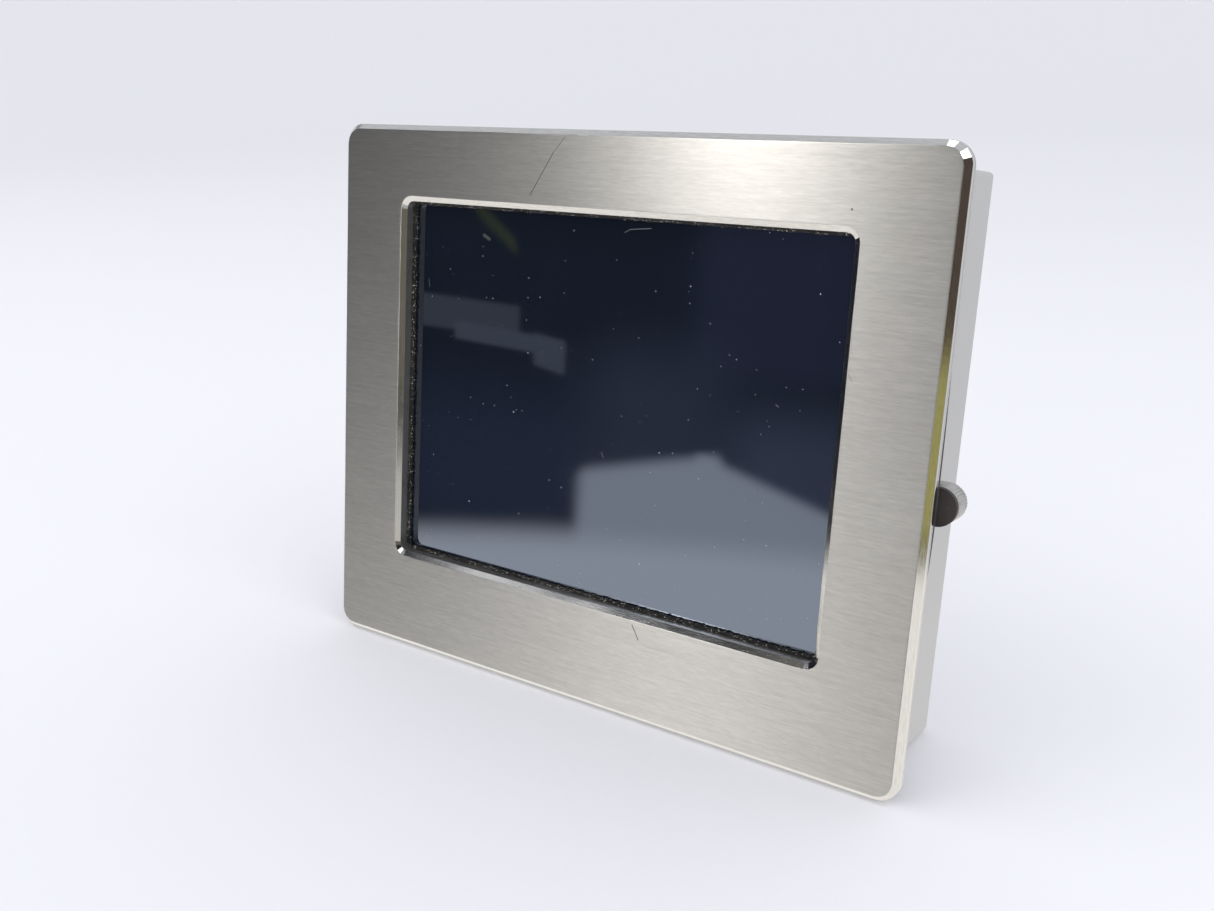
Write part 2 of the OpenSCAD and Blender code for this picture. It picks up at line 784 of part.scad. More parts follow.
module plug_screws() {
    face = plug_cy + plug_h / 2;
    z = port_face - 0.3 - plug_out / 2;
    color("silver") translate([port_x("power"), 0, z]) for (i = [0 : poles - 1])
        translate([(i - (poles - 1) / 2) * pole_pitch, 0, 0]) difference() {
            rod(1.25, face - 2.5, face - 0.6);
            box([-2, face - 1.2, -0.25], [2, face, 0.25]);
        }
}

module serial_socket() {
    flange_z = bay_z + wall;
    color("silver") translate([port_x("serial"), serial_cy, 0]) {
        difference() {
            box([-serial_w / 2, -ethernet_h / 2 + 0.1, flange_z],
                [serial_w / 2, ethernet_h / 2 - 0.1, flange_z + 0.8 - SLIP]);
            for (x = [-1, 1])
                translate([x * post_pitch / 2, 0, flange_z - 1]) cylinder(r = 1.6, h = 3);
        }
        difference() {
            translate([0, 0, flange_z - 6]) linear_extrude(6 + SLIP)
                polygon([[-8.4, 4.2], [8.4, 4.2], [7, -4.2], [-7, -4.2]]);
            for (i = [0 : 4])
                translate([(i - 2) * 2.77, 1.4, flange_z - 7]) cylinder(r = 0.5, h = 4, $fn = 16);
            for (i = [0 : 3])
                translate([(i - 1.5) * 2.77, -1.4, flange_z - 7]) cylinder(r = 0.5, h = 4, $fn = 16);
        }
        box([-9, -ethernet_h / 2 + 0.02, flange_z + 0.8 - 2 * SLIP], [9, 4.5, flange_z + 9]);
    }
}

module serial_posts() {
    color("silver") for (x = [-1, 1])
        translate([port_x("serial") + x * post_pitch / 2, serial_cy, 0]) difference() {
            union() {
                translate([0, 0, bay_z - 5]) cylinder(r = 2.74, h = 5, $fn = 6);
                translate([0, 0, bay_z - SLIP]) cylinder(r = 1.5, h = 5);
            }
            translate([0, 0, bay_z - 6]) cylinder(r = 1.1, h = 5);
        }
}

module ethernet_socket() {
    length = 15.5;
    color("silver") translate([port_x("ethernet"), parts_y, port_face]) {
        difference() {
            box([-ethernet_w / 2, 0, 0], [ethernet_w / 2, ethernet_h, length]);
            box([-5.9, 2.2, -1], [5.9, 9, 12]);
            box([-3.2, 1.2, -1], [3.2, 2.4, 9]);
        }
        for (i = [0 : 7])
            translate([(i - 3.5) * 1.02, 8.2, 2.5]) cube([0.4, 0.9, 9.6]);
    }
}

module usb_socket() {
    length = 14;
    color("silver") translate([port_x("usb"), parts_y, port_face]) {
        difference() {
            box([-usb_w / 2, 0, 0], [usb_w / 2, 5.8, length]);
            box([-usb_w / 2 + 0.35, 0.35, -1], [usb_w / 2 - 0.35, 5.45, 12]);
        }
        box([-5.6, 2.9, 1], [5.6, 4.7, 12.1]);
    }
}

module mode_switch() {
    color("silver") translate([port_x("mode"), parts_y, bay_z + wall]) difference() {
        box([-switch_w / 2, 0, 0.1], [switch_w / 2, 4, 5.5]);
        box([-(lever_w + lever_travel) / 2 - run_gap, 1 - run_gap, -1],
            [(lever_w + lever_travel) / 2 + run_gap, 3 + run_gap, 3.6]);
    }
}

module mode_lever() {
    x0 = port_x("mode") - lever_travel / 2;
    color([0.1, 0.1, 0.1]) translate([x0, parts_y, bay_z + wall + 3.5])
        box([-lever_w / 2, 1, -lever_l - 1.5], [lever_w / 2, 3, 0]);
}

module card_socket() {
    low = bay_z + wall + 0.1;
    color("silver") translate([port_x("card"), 0, 0]) difference() {
        box([-card_socket_w / 2, parts_y, low],
            [card_socket_w / 2, card_y + card_t + 0.6, low + card_socket_l]);
        box([-card_w / 2 - run_gap, card_y - run_gap, low - 1],
            [card_w / 2 + run_gap, card_y + card_t + run_gap, low + card_socket_l + 1]);
    }
}

module memory_card() {
    low = bay_z - card_out;
    cut = 3;
    color([0.12, 0.12, 0.14]) translate([port_x("card"), 0, low]) deep(card_y, card_y + card_t)
        polygon([[-card_w / 2, 0], [card_w / 2, 0], [card_w / 2, card_l - cut],
                 [card_w / 2 - cut, card_l], [-card_w / 2, card_l]]);
}

module reset_switch() {
    color([0.15, 0.15, 0.15]) translate([button_x, 0, button_z])
        deep(parts_y, parts_y + switch_h) square(6, center = true);
}

module reset_button() {
    foot_y = back_y - 1.3;
    color([0.1, 0.1, 0.1]) translate([button_x, 0, button_z]) {
        rod(button_r, foot_y, housing_d + 0.5);
        rod(button_r + 0.9, foot_y, foot_y + 1);
        rod(1, parts_y + switch_h + button_travel + 0.1, foot_y + SLIP);
    }
}

module status_lamps() {
    color([0.6, 0.8, 0.6]) for (x = lamp_x)
        translate([x, 0, button_z]) {
            rod(lamp_r, parts_y + 1, housing_d + 0.4);
            deep(parts_y, parts_y + 1) square(2.4, center = true);
        }
}

// ---- Clamps: each module draws the right-hand one ----

module clamp_guide() {
    gap_w = tongue_w / 2 + run_gap;
    top = -pawl_w / 2 - pass_gap;
    foot = top - tongue_d - guide_wall;
    y0 = nut_low - 0.3;
    translate([pivot_x, 0, clamp_rise]) {
        for (side = [0, 1]) mirror([side, 0, 0])
            box([gap_w, y0, foot], [gap_w + guide_wall, back_y, top]);
        box([-gap_w - SLIP, y0, foot], [gap_w + SLIP, back_y, foot + guide_wall]);
        box([-gap_w - guide_wall, back_y - 1, foot - 5], [gap_w + guide_wall, back_y, foot + SLIP]);
    }
}

module clamp_guides() {
    color("gray") for (side = [0, 1]) mirror([side, 0, 0]) clamp_guide();
}

// Captive screw with its head and its stop ring
module clamp_screw() {
    color("silver") translate([pivot_x, 0, clamp_rise]) {
        rod(screw_r, seal_t, housing_d + 0.1 + SLIP);
        rod(screw_r + 1.4, back_y - 1, back_y - 0.2);
        difference() {
            rod(screw_r + 1.8, housing_d + 0.1, housing_d + 2.6);
            translate([0, housing_d + 3, 0]) rotate([90, 0, 0]) cylinder(r = 1.45, h = 2, $fn = 6);
        }
    }
}

// Square nut with a guide tongue and the round collar on which the pawl turns
module clamp_nut() {
    half = clamp_nut_w / 2;
    tongue_low = -pawl_w / 2 - pass_gap - tongue_d + run_gap;
    color("goldenrod") translate([pivot_x, 0, clamp_rise]) difference() {
        union() {
            box([-half, nut_y, -half], [half, nut_y + clamp_nut_t, half]);
            box([-tongue_w / 2, nut_y, tongue_low], [tongue_w / 2, nut_y + clamp_nut_t, -half + SLIP]);
            rod(collar_r, pad_y + 0.6, nut_y + SLIP);
            rod(collar_r + 0.8, pad_y + 0.6, pad_y + 0.6 + ring_t);
        }
        rod(screw_r + run_gap, 0, nut_y + clamp_nut_t + 1);
    }
}

// Outline of the arm, pointing outwards from its pivot
module pawl_outline() {
    circle(pawl_w / 2);
    translate([pawl_reach, 0]) circle(pawl_w / 2);
    translate([0, -pawl_w / 2]) square([pawl_reach, pawl_w]);
}

module pawl() {
    grooves = 7;
    color([0.6, 0.6, 0.6]) translate([pivot_x, 0, clamp_rise]) difference() {
        deep(pawl_y, pawl_y + pawl_t) pawl_outline();
        rod(collar_r + run_gap, pawl_y - 1, pawl_y + pawl_t + 1);
        for (i = [0 : grooves - 1])
            translate([pawl_reach, 0, 0]) rotate([0, (i - (grooves - 1) / 2) * 22, 0])
                translate([pawl_w / 2, 0, 0]) rod(0.22, pawl_y - 1, pawl_y + pawl_t + 1, $fn = 16);
    }
}

module pawl_pad() {
    color([0.15, 0.13, 0.12]) translate([pivot_x, 0, clamp_rise]) deep(pad_y, pawl_y)
        intersection() {
            pawl_outline();
            translate([pawl_reach - pawl_w / 2, -pawl_w]) square([pawl_w * 2, pawl_w * 2]);
        }
}

module right_clamp_screw() { clamp_screw(); }
module right_clamp_nut() { clamp_nut(); }
module right_pawl() { pawl(); }
module right_pawl_pad() { pawl_pad(); }
module left_clamp_screw() { mirror([1, 0, 0]) clamp_screw(); }
module left_clamp_nut() { mirror([1, 0, 0]) clamp_nut(); }
module left_pawl() { mirror([1, 0, 0]) pawl(); }
module left_pawl_pad() { mirror([1, 0, 0]) pawl_pad(); }

front_frame();
screen_gasket();
mounting_gasket();
touch_film();
touch_glass();
touch_tail();
display_gasket();
display_bezel();
display_cell();
diffuser_sheets();
light_guide();
backlight_strip();
display_tray();
display_cable();
frame_studs();
lower_pillars();
carrier_bracket();
upper_pillars();
rear_housing();
housing_screws();
connector_bay();
bay_rivets();
rating_plate();
earth_stud();
earth_washer();
earth_nut();
board_spacers();
main_board();
board_screws();
board_connectors();
processor();
heat_sink();
memory_chips();
capacitors();
power_coils();
battery_holder();
battery();
power_header();
power_plug();
plug_screws();
serial_socket();
serial_posts();
ethernet_socket();
usb_socket();
mode_switch();
mode_lever();
card_socket();
memory_card();
reset_switch();
reset_button();
status_lamps();
clamp_guides();
right_clamp_screw();
right_clamp_nut();
right_pawl();
right_pawl_pad();
left_clamp_screw();
left_clamp_nut();
left_pawl();
left_pawl_pad();
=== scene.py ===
"""Touch operator panel: finishes, detailed pieces, floor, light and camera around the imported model."""
import math

import bpy
import numpy as np
from bpy.props import FloatProperty, FloatVectorProperty, IntProperty, PointerProperty
from mathutils import Matrix, Vector


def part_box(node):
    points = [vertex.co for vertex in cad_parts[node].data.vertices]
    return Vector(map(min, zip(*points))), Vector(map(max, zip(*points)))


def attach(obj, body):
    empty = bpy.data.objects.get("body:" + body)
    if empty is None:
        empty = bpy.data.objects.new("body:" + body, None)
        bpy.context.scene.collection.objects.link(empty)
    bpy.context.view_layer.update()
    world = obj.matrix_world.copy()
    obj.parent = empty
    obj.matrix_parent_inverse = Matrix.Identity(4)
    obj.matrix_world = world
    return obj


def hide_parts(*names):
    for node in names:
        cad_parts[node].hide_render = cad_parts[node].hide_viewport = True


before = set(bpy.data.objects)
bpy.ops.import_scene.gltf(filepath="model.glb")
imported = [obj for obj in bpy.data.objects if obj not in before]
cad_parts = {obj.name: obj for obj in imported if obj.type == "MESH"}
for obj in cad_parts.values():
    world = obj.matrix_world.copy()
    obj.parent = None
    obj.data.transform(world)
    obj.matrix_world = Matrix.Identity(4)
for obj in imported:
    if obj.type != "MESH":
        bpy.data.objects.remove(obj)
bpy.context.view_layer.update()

bl_info = {
    "name": "Touch Operator Panel",
    "version": (1, 0, 0),
    "blender": (4, 5, 0),
    "location": "View3D > Sidebar > Panel Maker",
    "description": "Detailed pieces and finishes of a flush-mounted touch operator panel",
    "category": "Object",
}

MM = 0.001
TAU = 2 * math.pi
# The screen opening in the plate: width, height, corner radius and height of its middle
OPENING_W, OPENING_H, OPENING_CORNER, OPENING_Z = 119.3 * MM, 90.5 * MM, 2 * MM, 3.7 * MM


def spans(node_name):
    """Lowest and highest coordinate of a node along each axis, in metres."""
    return list(zip(*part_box(node_name)))


# ---- Shapes ----

def build_mesh(name, points, quads, tris=(), bands=None, smooth=True):
    """New object from arrays of points, quads and triangles; bands holds each quad's material slot."""
    points = np.asarray(points, dtype=np.float32).reshape(-1, 3)
    quads = np.asarray(quads, dtype=np.int32).reshape(-1, 4)
    tris = np.asarray(tris, dtype=np.int32).reshape(-1, 3)
    mesh = bpy.data.meshes.new(name)
    mesh.vertices.add(len(points))
    mesh.vertices.foreach_set("co", points.ravel())
    loops = np.concatenate([quads.ravel(), tris.ravel()])
    mesh.loops.add(len(loops))
    mesh.loops.foreach_set("vertex_index", loops)
    count = len(quads) + len(tris)
    starts = np.concatenate([np.arange(len(quads)) * 4, len(quads) * 4 + np.arange(len(tris)) * 3])
    mesh.polygons.add(count)
    mesh.polygons.foreach_set("loop_start", starts.astype(np.int32))
    flags = np.broadcast_to(np.asarray(smooth, dtype=bool), count).copy()
    mesh.polygons.foreach_set("use_smooth", flags)
    if bands is not None:
        mesh.polygons.foreach_set("material_index", np.asarray(bands, dtype=np.int32))
    mesh.update(calc_edges=True)
    mesh.validate()
    obj = bpy.data.objects.new(name, mesh)
    bpy.context.scene.collection.objects.link(obj)
    return obj


def wrap_quads(nu, nv, close_v=False):
    """Quads of a grid of nu by nv points that closes on itself along u, and along v if asked."""
    here = np.arange(nu * nv).reshape(nu, nv)
    there = np.roll(here, -1, axis=0)
    quads = np.stack([here, there, np.roll(there, -1, axis=1), np.roll(here, -1, axis=1)], axis=-1)
    return (quads if close_v else quads[:, :-1]).reshape(-1, 4)


def rounded_outline(width, height, radius, per_corner, per_side, facets=0):
    """Points and outward directions round a rectangle with round corners, and each point's corner scale.

    A corner point is the corner's centre plus radius times (cos, sin) of an angle that sweeps a quarter
    turn; a side point lies on the straight line between two corners. With facets, the scale pulls the
    arc in to that many equal chords: cos(half a chord) / cos(angle from the chord's middle).
    """
    quarter = np.linspace(0, math.pi / 2, per_corner)
    if facets:
        chord = math.pi / 2 / facets
        off = np.mod(quarter, chord)
        off = np.where(np.isclose(off, chord), 0, off)
        scale = math.cos(chord / 2) / np.cos(off - chord / 2)
    else:
        scale = np.ones(per_corner)
    steps = np.linspace(0, 1, per_side + 2)[1:-1]
    signs = np.array([[1, 1], [-1, 1], [-1, -1], [1, -1]])
    centres = signs * np.array([width / 2 - radius, height / 2 - radius])
    turn = quarter[None, :] + np.arange(4)[:, None] * math.pi / 2
    arc_dir = np.stack([np.cos(turn), np.sin(turn)], axis=-1)
    arcs = centres[:, None, :] + radius * arc_dir
    first, last = np.roll(arcs[:, 0], -1, axis=0), arcs[:, -1]
    sides = last[:, None, :] + (first - last)[:, None, :] * steps[None, :, None]
    side_dir = np.repeat(arc_dir[:, -1:], per_side, axis=1)
    base = np.concatenate([arcs, sides], axis=1).reshape(-1, 2)
    out = np.concatenate([arc_dir, side_dir], axis=1).reshape(-1, 2)
    scales = np.concatenate([np.tile(scale, (4, 1)), np.ones((4, per_side))], axis=1).reshape(-1)
    return base, out, scales


def ripple(count, waves, seed):
    """Smooth closed wave round a loop: sines of whole frequencies with random phases, about -1..1."""
    rng = np.random.default_rng(seed)
    t = np.arange(count) / count * TAU
    phase = rng.uniform(0, TAU, len(waves))
    size = rng.uniform(0.5, 1, len(waves))
    return (np.sin(np.outer(t, waves) + phase) * size).sum(axis=1) / size.sum()


def turned(rows, at, steps=48, shapes=None, helix=None):
    """Closed solid turned about an axis along Y through at (x, z).

    Each row is a radius and a place along the axis. A point is the axis plus radius times (cos, sin) of
    the turning angle; a row marked as a hexagon divides its radius by the cosine of the angle from the
    middle of the nearest flat. A helix adds a ridge whose height follows the place along the axis less
    the pitch times the angle's share of a turn. The ends close on single points.
    """
    rows = np.asarray(rows, dtype=float)
    angle = np.arange(steps) / steps * TAU
    radius = np.repeat(rows[None, :, 0], steps, axis=0)
    y = np.repeat(rows[None, :, 1], steps, axis=0)
    if shapes is not None:
        flat = np.mod(angle + math.pi / 6, math.pi / 3) - math.pi / 6
        hexed = np.asarray(shapes, dtype=bool)
        radius = np.where(hexed[None, :], radius / np.cos(flat)[:, None], radius)
    if helix is not None:
        pitch, depth, start, end = helix
        phase = np.mod(y / pitch - angle[:, None] / TAU, 1)
        ridge = np.abs(phase * 2 - 1)
        fade = np.clip((y - start) / pitch, 0, 1) * np.clip((end - y) / pitch, 0, 1)
        radius = radius - depth * ridge * fade
    x = at[0] + radius * np.cos(angle)[:, None]
    z = at[1] + radius * np.sin(angle)[:, None]
    points = np.stack([x, y, z], axis=-1).reshape(-1, 3)
    count = rows.shape[0]
    quads = wrap_quads(steps, count)[:, ::-1]
    low, high = len(points), len(points) + 1
    points = np.concatenate([points, [[at[0], rows[0, 1], at[1]], [at[0], rows[-1, 1], at[1]]]])
    ring = np.arange(steps) * count
    after = np.roll(ring, -1)
    tris = np.concatenate([
        np.stack([np.full(steps, low), ring, after], axis=-1),
        np.stack([np.full(steps, high), after + count - 1, ring + count - 1], axis=-1)])
    return points, quads, tris


def joined(parts):
    """One set of points, quads and triangles from several closed solids."""
    points, quads, tris = zip(*parts)
    starts = np.cumsum([0] + [len(part) for part in points])
    quads, tris = (np.concatenate([part + at for part, at in zip(faces, starts)])
                   for faces in (quads, tris))
    return np.concatenate(points), quads, tris


def screw_rows(radius, start, end, pitch, per_pitch=6):
    """Rows of a threaded shank from start to end, several to each turn of the thread."""
    y = np.linspace(start, end, int((end - start) / pitch * per_pitch))
    return np.stack([np.full(len(y), radius), y], axis=-1)


# ---- Materials ----

def new_group(name, inputs, outputs):
    """Empty shader node group with named sockets; returns it with its input and output nodes."""
    group = bpy.data.node_groups.new(name, "ShaderNodeTree")
    for label, kind, value in inputs:
        socket = group.interface.new_socket(label, in_out="INPUT", socket_type=kind)
        if value is not None:
            socket.default_value = value
    for label, kind in outputs:
        group.interface.new_socket(label, in_out="OUTPUT", socket_type=kind)
    return group, group.nodes.new("NodeGroupInput"), group.nodes.new("NodeGroupOutput")


def feed(tree, socket, value):
    """Links a socket to another one, or sets it to a plain value."""
    if hasattr(value, "is_output"):
        tree.links.new(value, socket)
    else:
        socket.default_value = value


def fill(tree, made, **values):
    """Feeds each socket that a key names, with _ for a space; any other key is a setting of the node."""
    for key, value in values.items():
        label = key.replace("_", " ")
        if label in made.inputs:
            feed(tree, made.inputs[label], value)
        else:
            setattr(made, key, value)
    return made


def node(tree, kind, *inputs, **values):
    """New node with its settings, its sockets fed in order and by name; None leaves a socket alone."""
    made = fill(tree, tree.nodes.new(kind), **values)
    for socket, value in zip(made.inputs, inputs):
        if value is not None:
            feed(tree, socket, value)
    return made


def maths(tree, operation, a, b=None, clamp=False):
    """Math node on two values or sockets; returns its output."""
    return node(tree, "ShaderNodeMath", a, b, operation=operation, use_clamp=clamp).outputs[0]


def fitted(tree, value, low, high, to_low=0.0, to_high=1.0, smooth=True):
    """Map Range node, clamped; returns its output."""
    return node(tree, "ShaderNodeMapRange", value, low, high, to_low, to_high,
                interpolation_type="SMOOTHSTEP" if smooth else "LINEAR").outputs[0]


def blended(tree, factor, a, b):
    """Colour mix from a to b by factor; each is a socket or a value."""
    made = node(tree, "ShaderNodeMix", factor, data_type="RGBA")
    for index, item in ((6, a), (7, b)):
        feed(tree, made.inputs[index], item if hasattr(item, "is_output") else (*item, 1.0)[:4])
    return made.outputs[2]


def grain_group():
    """Surface grain: noise on coordinates stretched by a vector; gives a value about 0..1."""
    group, start, end = new_group(
        "Surface Grain",
        [("Vector", "NodeSocketVector", None), ("Stretch", "NodeSocketVector", (1, 1, 1)),
         ("Detail", "NodeSocketFloat", 3.0), ("Contrast", "NodeSocketFloat", 1.0)],
        [("Value", "NodeSocketFloat")])
    scaled = node(group, "ShaderNodeVectorMath", start.outputs["Vector"], start.outputs["Stretch"],
                  operation="MULTIPLY")
    noise = node(group, "ShaderNodeTexNoise", Vector=scaled.outputs[0], Scale=1.0, Roughness=0.6,
                 Detail=start.outputs["Detail"])
    centred = maths(group, "SUBTRACT", noise.outputs[0], 0.5)
    wide = maths(group, "MULTIPLY", centred, start.outputs["Contrast"])
    value = maths(group, "ADD", wide, 0.5, clamp=True)
    group.links.new(value, end.inputs[0])
    return group


def dust_group():
    """Dust specks: cells nearer their centre than a size that noise varies; gives a mask of 0..1."""
    group, start, end = new_group(
        "Dust Specks",
        [("Vector", "NodeSocketVector", None), ("Density", "NodeSocketFloat", 0.3),
         ("Size", "NodeSocketFloat", 0.08)],
        [("Mask", "NodeSocketFloat")])
    scaled = node(group, "ShaderNodeVectorMath", start.outputs["Vector"], operation="SCALE",
                  Scale=start.outputs["Density"])
    cells = node(group, "ShaderNodeTexVoronoi", Vector=scaled.outputs[0], Scale=1.0)
    pick = node(group, "ShaderNodeSeparateColor", cells.outputs["Color"])
    chosen = fitted(group, pick.outputs[0], 0.35, 1.0, 0.0, 1.0, smooth=False)
    reach = maths(group, "MULTIPLY", chosen, start.outputs["Size"])
    edge = maths(group, "MULTIPLY", reach, 0.5)
    near = fitted(group, cells.outputs["Distance"], edge, reach, 1.0, 0.0)
    seen = maths(group, "GREATER_THAN", chosen, 0.02)
    group.links.new(maths(group, "MULTIPLY", near, seen), end.inputs[0])
    return group


def mark_group():
    """Scratch or hair: how near a point is to the straight line between two ends; gives a mask of 0..1."""
    group, start, end = new_group(
        "Line Mark",
        [("Vector", "NodeSocketVector", None), ("From", "NodeSocketVector", (0, 0, 0)),
         ("To", "NodeSocketVector", (1, 0, 0)), ("Width", "NodeSocketFloat", 0.1)],
        [("Mask", "NodeSocketFloat")])

    def vector(operation, a, b):
        return node(group, "ShaderNodeVectorMath", a, b, operation=operation)

    along = vector("SUBTRACT", start.outputs["To"], start.outputs["From"]).outputs[0]
    here = vector("SUBTRACT", start.outputs["Vector"], start.outputs["From"]).outputs[0]
    share = maths(group, "DIVIDE", vector("DOT_PRODUCT", here, along).outputs["Value"],
                  vector("DOT_PRODUCT", along, along).outputs["Value"], clamp=True)
    reach = node(group, "ShaderNodeVectorMath", along, operation="SCALE", Scale=share)
    gap = vector("DISTANCE", here, reach.outputs[0]).outputs["Value"]
    half = maths(group, "MULTIPLY", start.outputs["Width"], 0.5)
    group.links.new(fitted(group, gap, half, start.outputs["Width"], 1.0, 0.0), end.inputs[0])
    return group


def placed(tree, group, vector, **values):
    """Places a node group in a material, fed with coordinates in millimetres; returns its output."""
    return node(tree, "ShaderNodeGroup", node_tree=GROUPS[group], Vector=vector, **values).outputs[0]


def start_material(name):
    """New material with its shader and Object coordinates turned to millimetres."""
    material = bpy.data.materials.new(name)
    material.use_nodes = True
    tree = material.node_tree
    shader = tree.nodes["Principled BSDF"]
    place = node(tree, "ShaderNodeTexCoord")
    scale = node(tree, "ShaderNodeMapping", place.outputs["Object"], Scale=(1000, 1000, 1000))
    return material, tree, shader, scale.outputs[0]


def shade(tree, shader, height, strength, depth, **values):
    """Feeds the shader's sockets, and its normal from a height; depth is the full height in metres."""
    bump = node(tree, "ShaderNodeBump", Strength=strength, Distance=depth, Height=height)
    fill(tree, shader, Normal=bump.outputs[0], **values)


def marked(tree, mm, colour, marks, face, strength, tint):
    """Line marks laid over a colour; face is the depth of the face they lie on, in millimetres."""
    for start, stop, width, light in marks:
        mark = placed(tree, "mark", mm, From=(start[0], face, start[1]), To=(stop[0], face, stop[1]),
                      Width=width)
        colour = blended(tree, maths(tree, "MULTIPLY", mark, strength), colour,
                         tuple(light * share for share in tint))
    return colour


def finish(name, colour, metal, rough, stretch=(2, 2, 2), vary=0.06, rough_vary=0.06, bump=0.15,
           depth=0.02, dust=0.0, dust_colour=(0.62, 0.61, 0.58), film=0.35, specks=(0.9, 0.16)):
    """General finish: a colour and a roughness that vary with the grain, a fine bump and some dust."""
    material, tree, shader, mm = start_material(name)
    grain = placed(tree, "grain", mm, Stretch=stretch, Detail=4.0, Contrast=1.6)
    cloud = placed(tree, "grain", mm, Stretch=(0.05, 0.05, 0.05), Detail=3.0, Contrast=1.4)
    tone = maths(tree, "ADD", maths(tree, "MULTIPLY", grain, 0.6), maths(tree, "MULTIPLY", cloud, 0.4))
    dark = tuple(c * (1 - vary) for c in colour[:3])
    light = tuple(min(1, c * (1 + vary)) for c in colour[:3])
    base = blended(tree, tone, dark, light)
    shine = fitted(tree, tone, 0.2, 0.8, max(0.02, rough - rough_vary), min(1, rough + rough_vary), False)
    if dust:
        grit = placed(tree, "dust", mm, Density=specks[0], Size=specks[1])
        veil = fitted(tree, cloud, 0.35, 0.9, 0.0, film)
        mask = maths(tree, "MULTIPLY", maths(tree, "MAXIMUM", grit, veil), dust)
        base = blended(tree, mask, base, dust_colour)
        shine = maths(tree, "ADD", shine, maths(tree, "MULTIPLY", mask, 0.3), clamp=True)
    shade(tree, shader, grain, bump, depth * MM, Base_Color=base, Roughness=shine, Metallic=metal)
    return material


def dress(node_name, material):
    """Gives a carried-over node its finish."""
    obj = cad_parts[node_name]
    obj.data.materials.clear()
    obj.data.materials.append(material)


def dress_all(finishes):
    """Finishes nodes by a table: nodes, colour, metal, roughness and what differs from the usual."""
    for name, (nodes, colour, metal, rough, extra) in finishes.items():
        material = finish(name, colour, metal, rough, **extra)
        for node_name in nodes:
            dress(node_name, material)


# The shader node groups by short name, filled in by main
GROUPS = {}


# ---- Sizes and colours ----

class PanelMakerSizes(bpy.types.PropertyGroup):
    """Sizes of the detailed pieces."""
    bevel: FloatProperty(
        name="Outer bevel", description="Width of the polished bevel round the plate",
        default=1.3 * MM, min=0.4 * MM, max=2.4 * MM, unit="LENGTH")
    opening_bevel: FloatProperty(
        name="Opening bevel", description="Width of the bevel round the screen opening",
        default=1.3 * MM, min=0.4 * MM, max=2 * MM, unit="LENGTH")
    opening_depth: FloatProperty(
        name="Opening bevel depth", description="Depth of the bevel round the screen opening",
        default=0.8 * MM, min=0.3 * MM, max=1.6 * MM, unit="LENGTH")
    edge_break: FloatProperty(
        name="Edge rounding", description="Radius of the broken edge beside each bevel",
        default=0.06 * MM, min=0.02 * MM, max=0.2 * MM, unit="LENGTH")
    foam_show: FloatProperty(
        name="Foam showing", description="How far the foam strip stands into the opening",
        default=0.7 * MM, min=0.2 * MM, max=1.2 * MM, unit="LENGTH")
    foam_rough: FloatProperty(
        name="Foam unevenness", description="Depth of the lumps on the foam's edge",
        default=0.16 * MM, min=0, max=0.3 * MM, unit="LENGTH")
    thread_depth: FloatProperty(
        name="Thread depth", description="Depth of the thread on the clamp screws",
        default=0.38 * MM, min=0.1 * MM, max=0.43 * MM, unit="LENGTH")
    rim_grooves: IntProperty(
        name="Rim grooves", description="Grooves to a full turn on a clamp arm's rim",
        default=38, min=12, max=60)
    groove_depth: FloatProperty(
        name="Groove depth", description="Depth of the grooves on a clamp arm's rim",
        default=0.14 * MM, min=0, max=0.3 * MM, unit="LENGTH")


class PanelMakerColours(bpy.types.PropertyGroup):
    """Main colours of the finishes."""
    steel: FloatVectorProperty(
        name="Plate steel", description="Brushed face of the front plate",
        default=(0.585, 0.575, 0.555), size=3, min=0, max=1, subtype="COLOR")
    bevel_steel: FloatVectorProperty(
        name="Bevel steel", description="Polished bevels of the front plate",
        default=(0.78, 0.765, 0.74), size=3, min=0, max=1, subtype="COLOR")
    screen: FloatVectorProperty(
        name="Screen", description="Face of the screen when it is off",
        default=(0.006, 0.009, 0.016), size=3, min=0, max=1, subtype="COLOR")
    foam: FloatVectorProperty(
        name="Foam", description="Foam strip round the screen",
        default=(0.018, 0.017, 0.016), size=3, min=0, max=1, subtype="COLOR")
    housing: FloatVectorProperty(
        name="Housing", description="Sheet-metal housing",
        default=(0.565, 0.56, 0.555), size=3, min=0, max=1, subtype="COLOR")
    floor: FloatVectorProperty(
        name="Floor", description="Pale floor under the panel",
        default=(0.90, 0.90, 0.93), size=3, min=0, max=1, subtype="COLOR")


# ---- Front plate ----

# Scratches and nicks on the plate's face, in mm: from (x, z), to (x, z), width, dark or bright
PLATE_MARKS = [
    ((-20.74, 52.27), (-14.6, 62.0), 0.14, 0.14), ((-14.6, 62.0), (-11.55, 65.48), 0.10, 0.2),
    ((14.35, -43.88), (16.25, -47.08), 0.19, 0.1), ((61.15, 21.25), (62.16, 19.76), 0.11, 0.35),
    ((58.5, 53.5), (58.6, 53.4), 0.28, 0.12), ((80.05, -61.4), (80.15, -61.3), 0.30, 0.03),
    ((8.5, -66.2), (9.2, -66.3), 0.22, 0.05), ((-8.0, 66.1), (-5.3, 66.1), 0.18, 1.0),
]


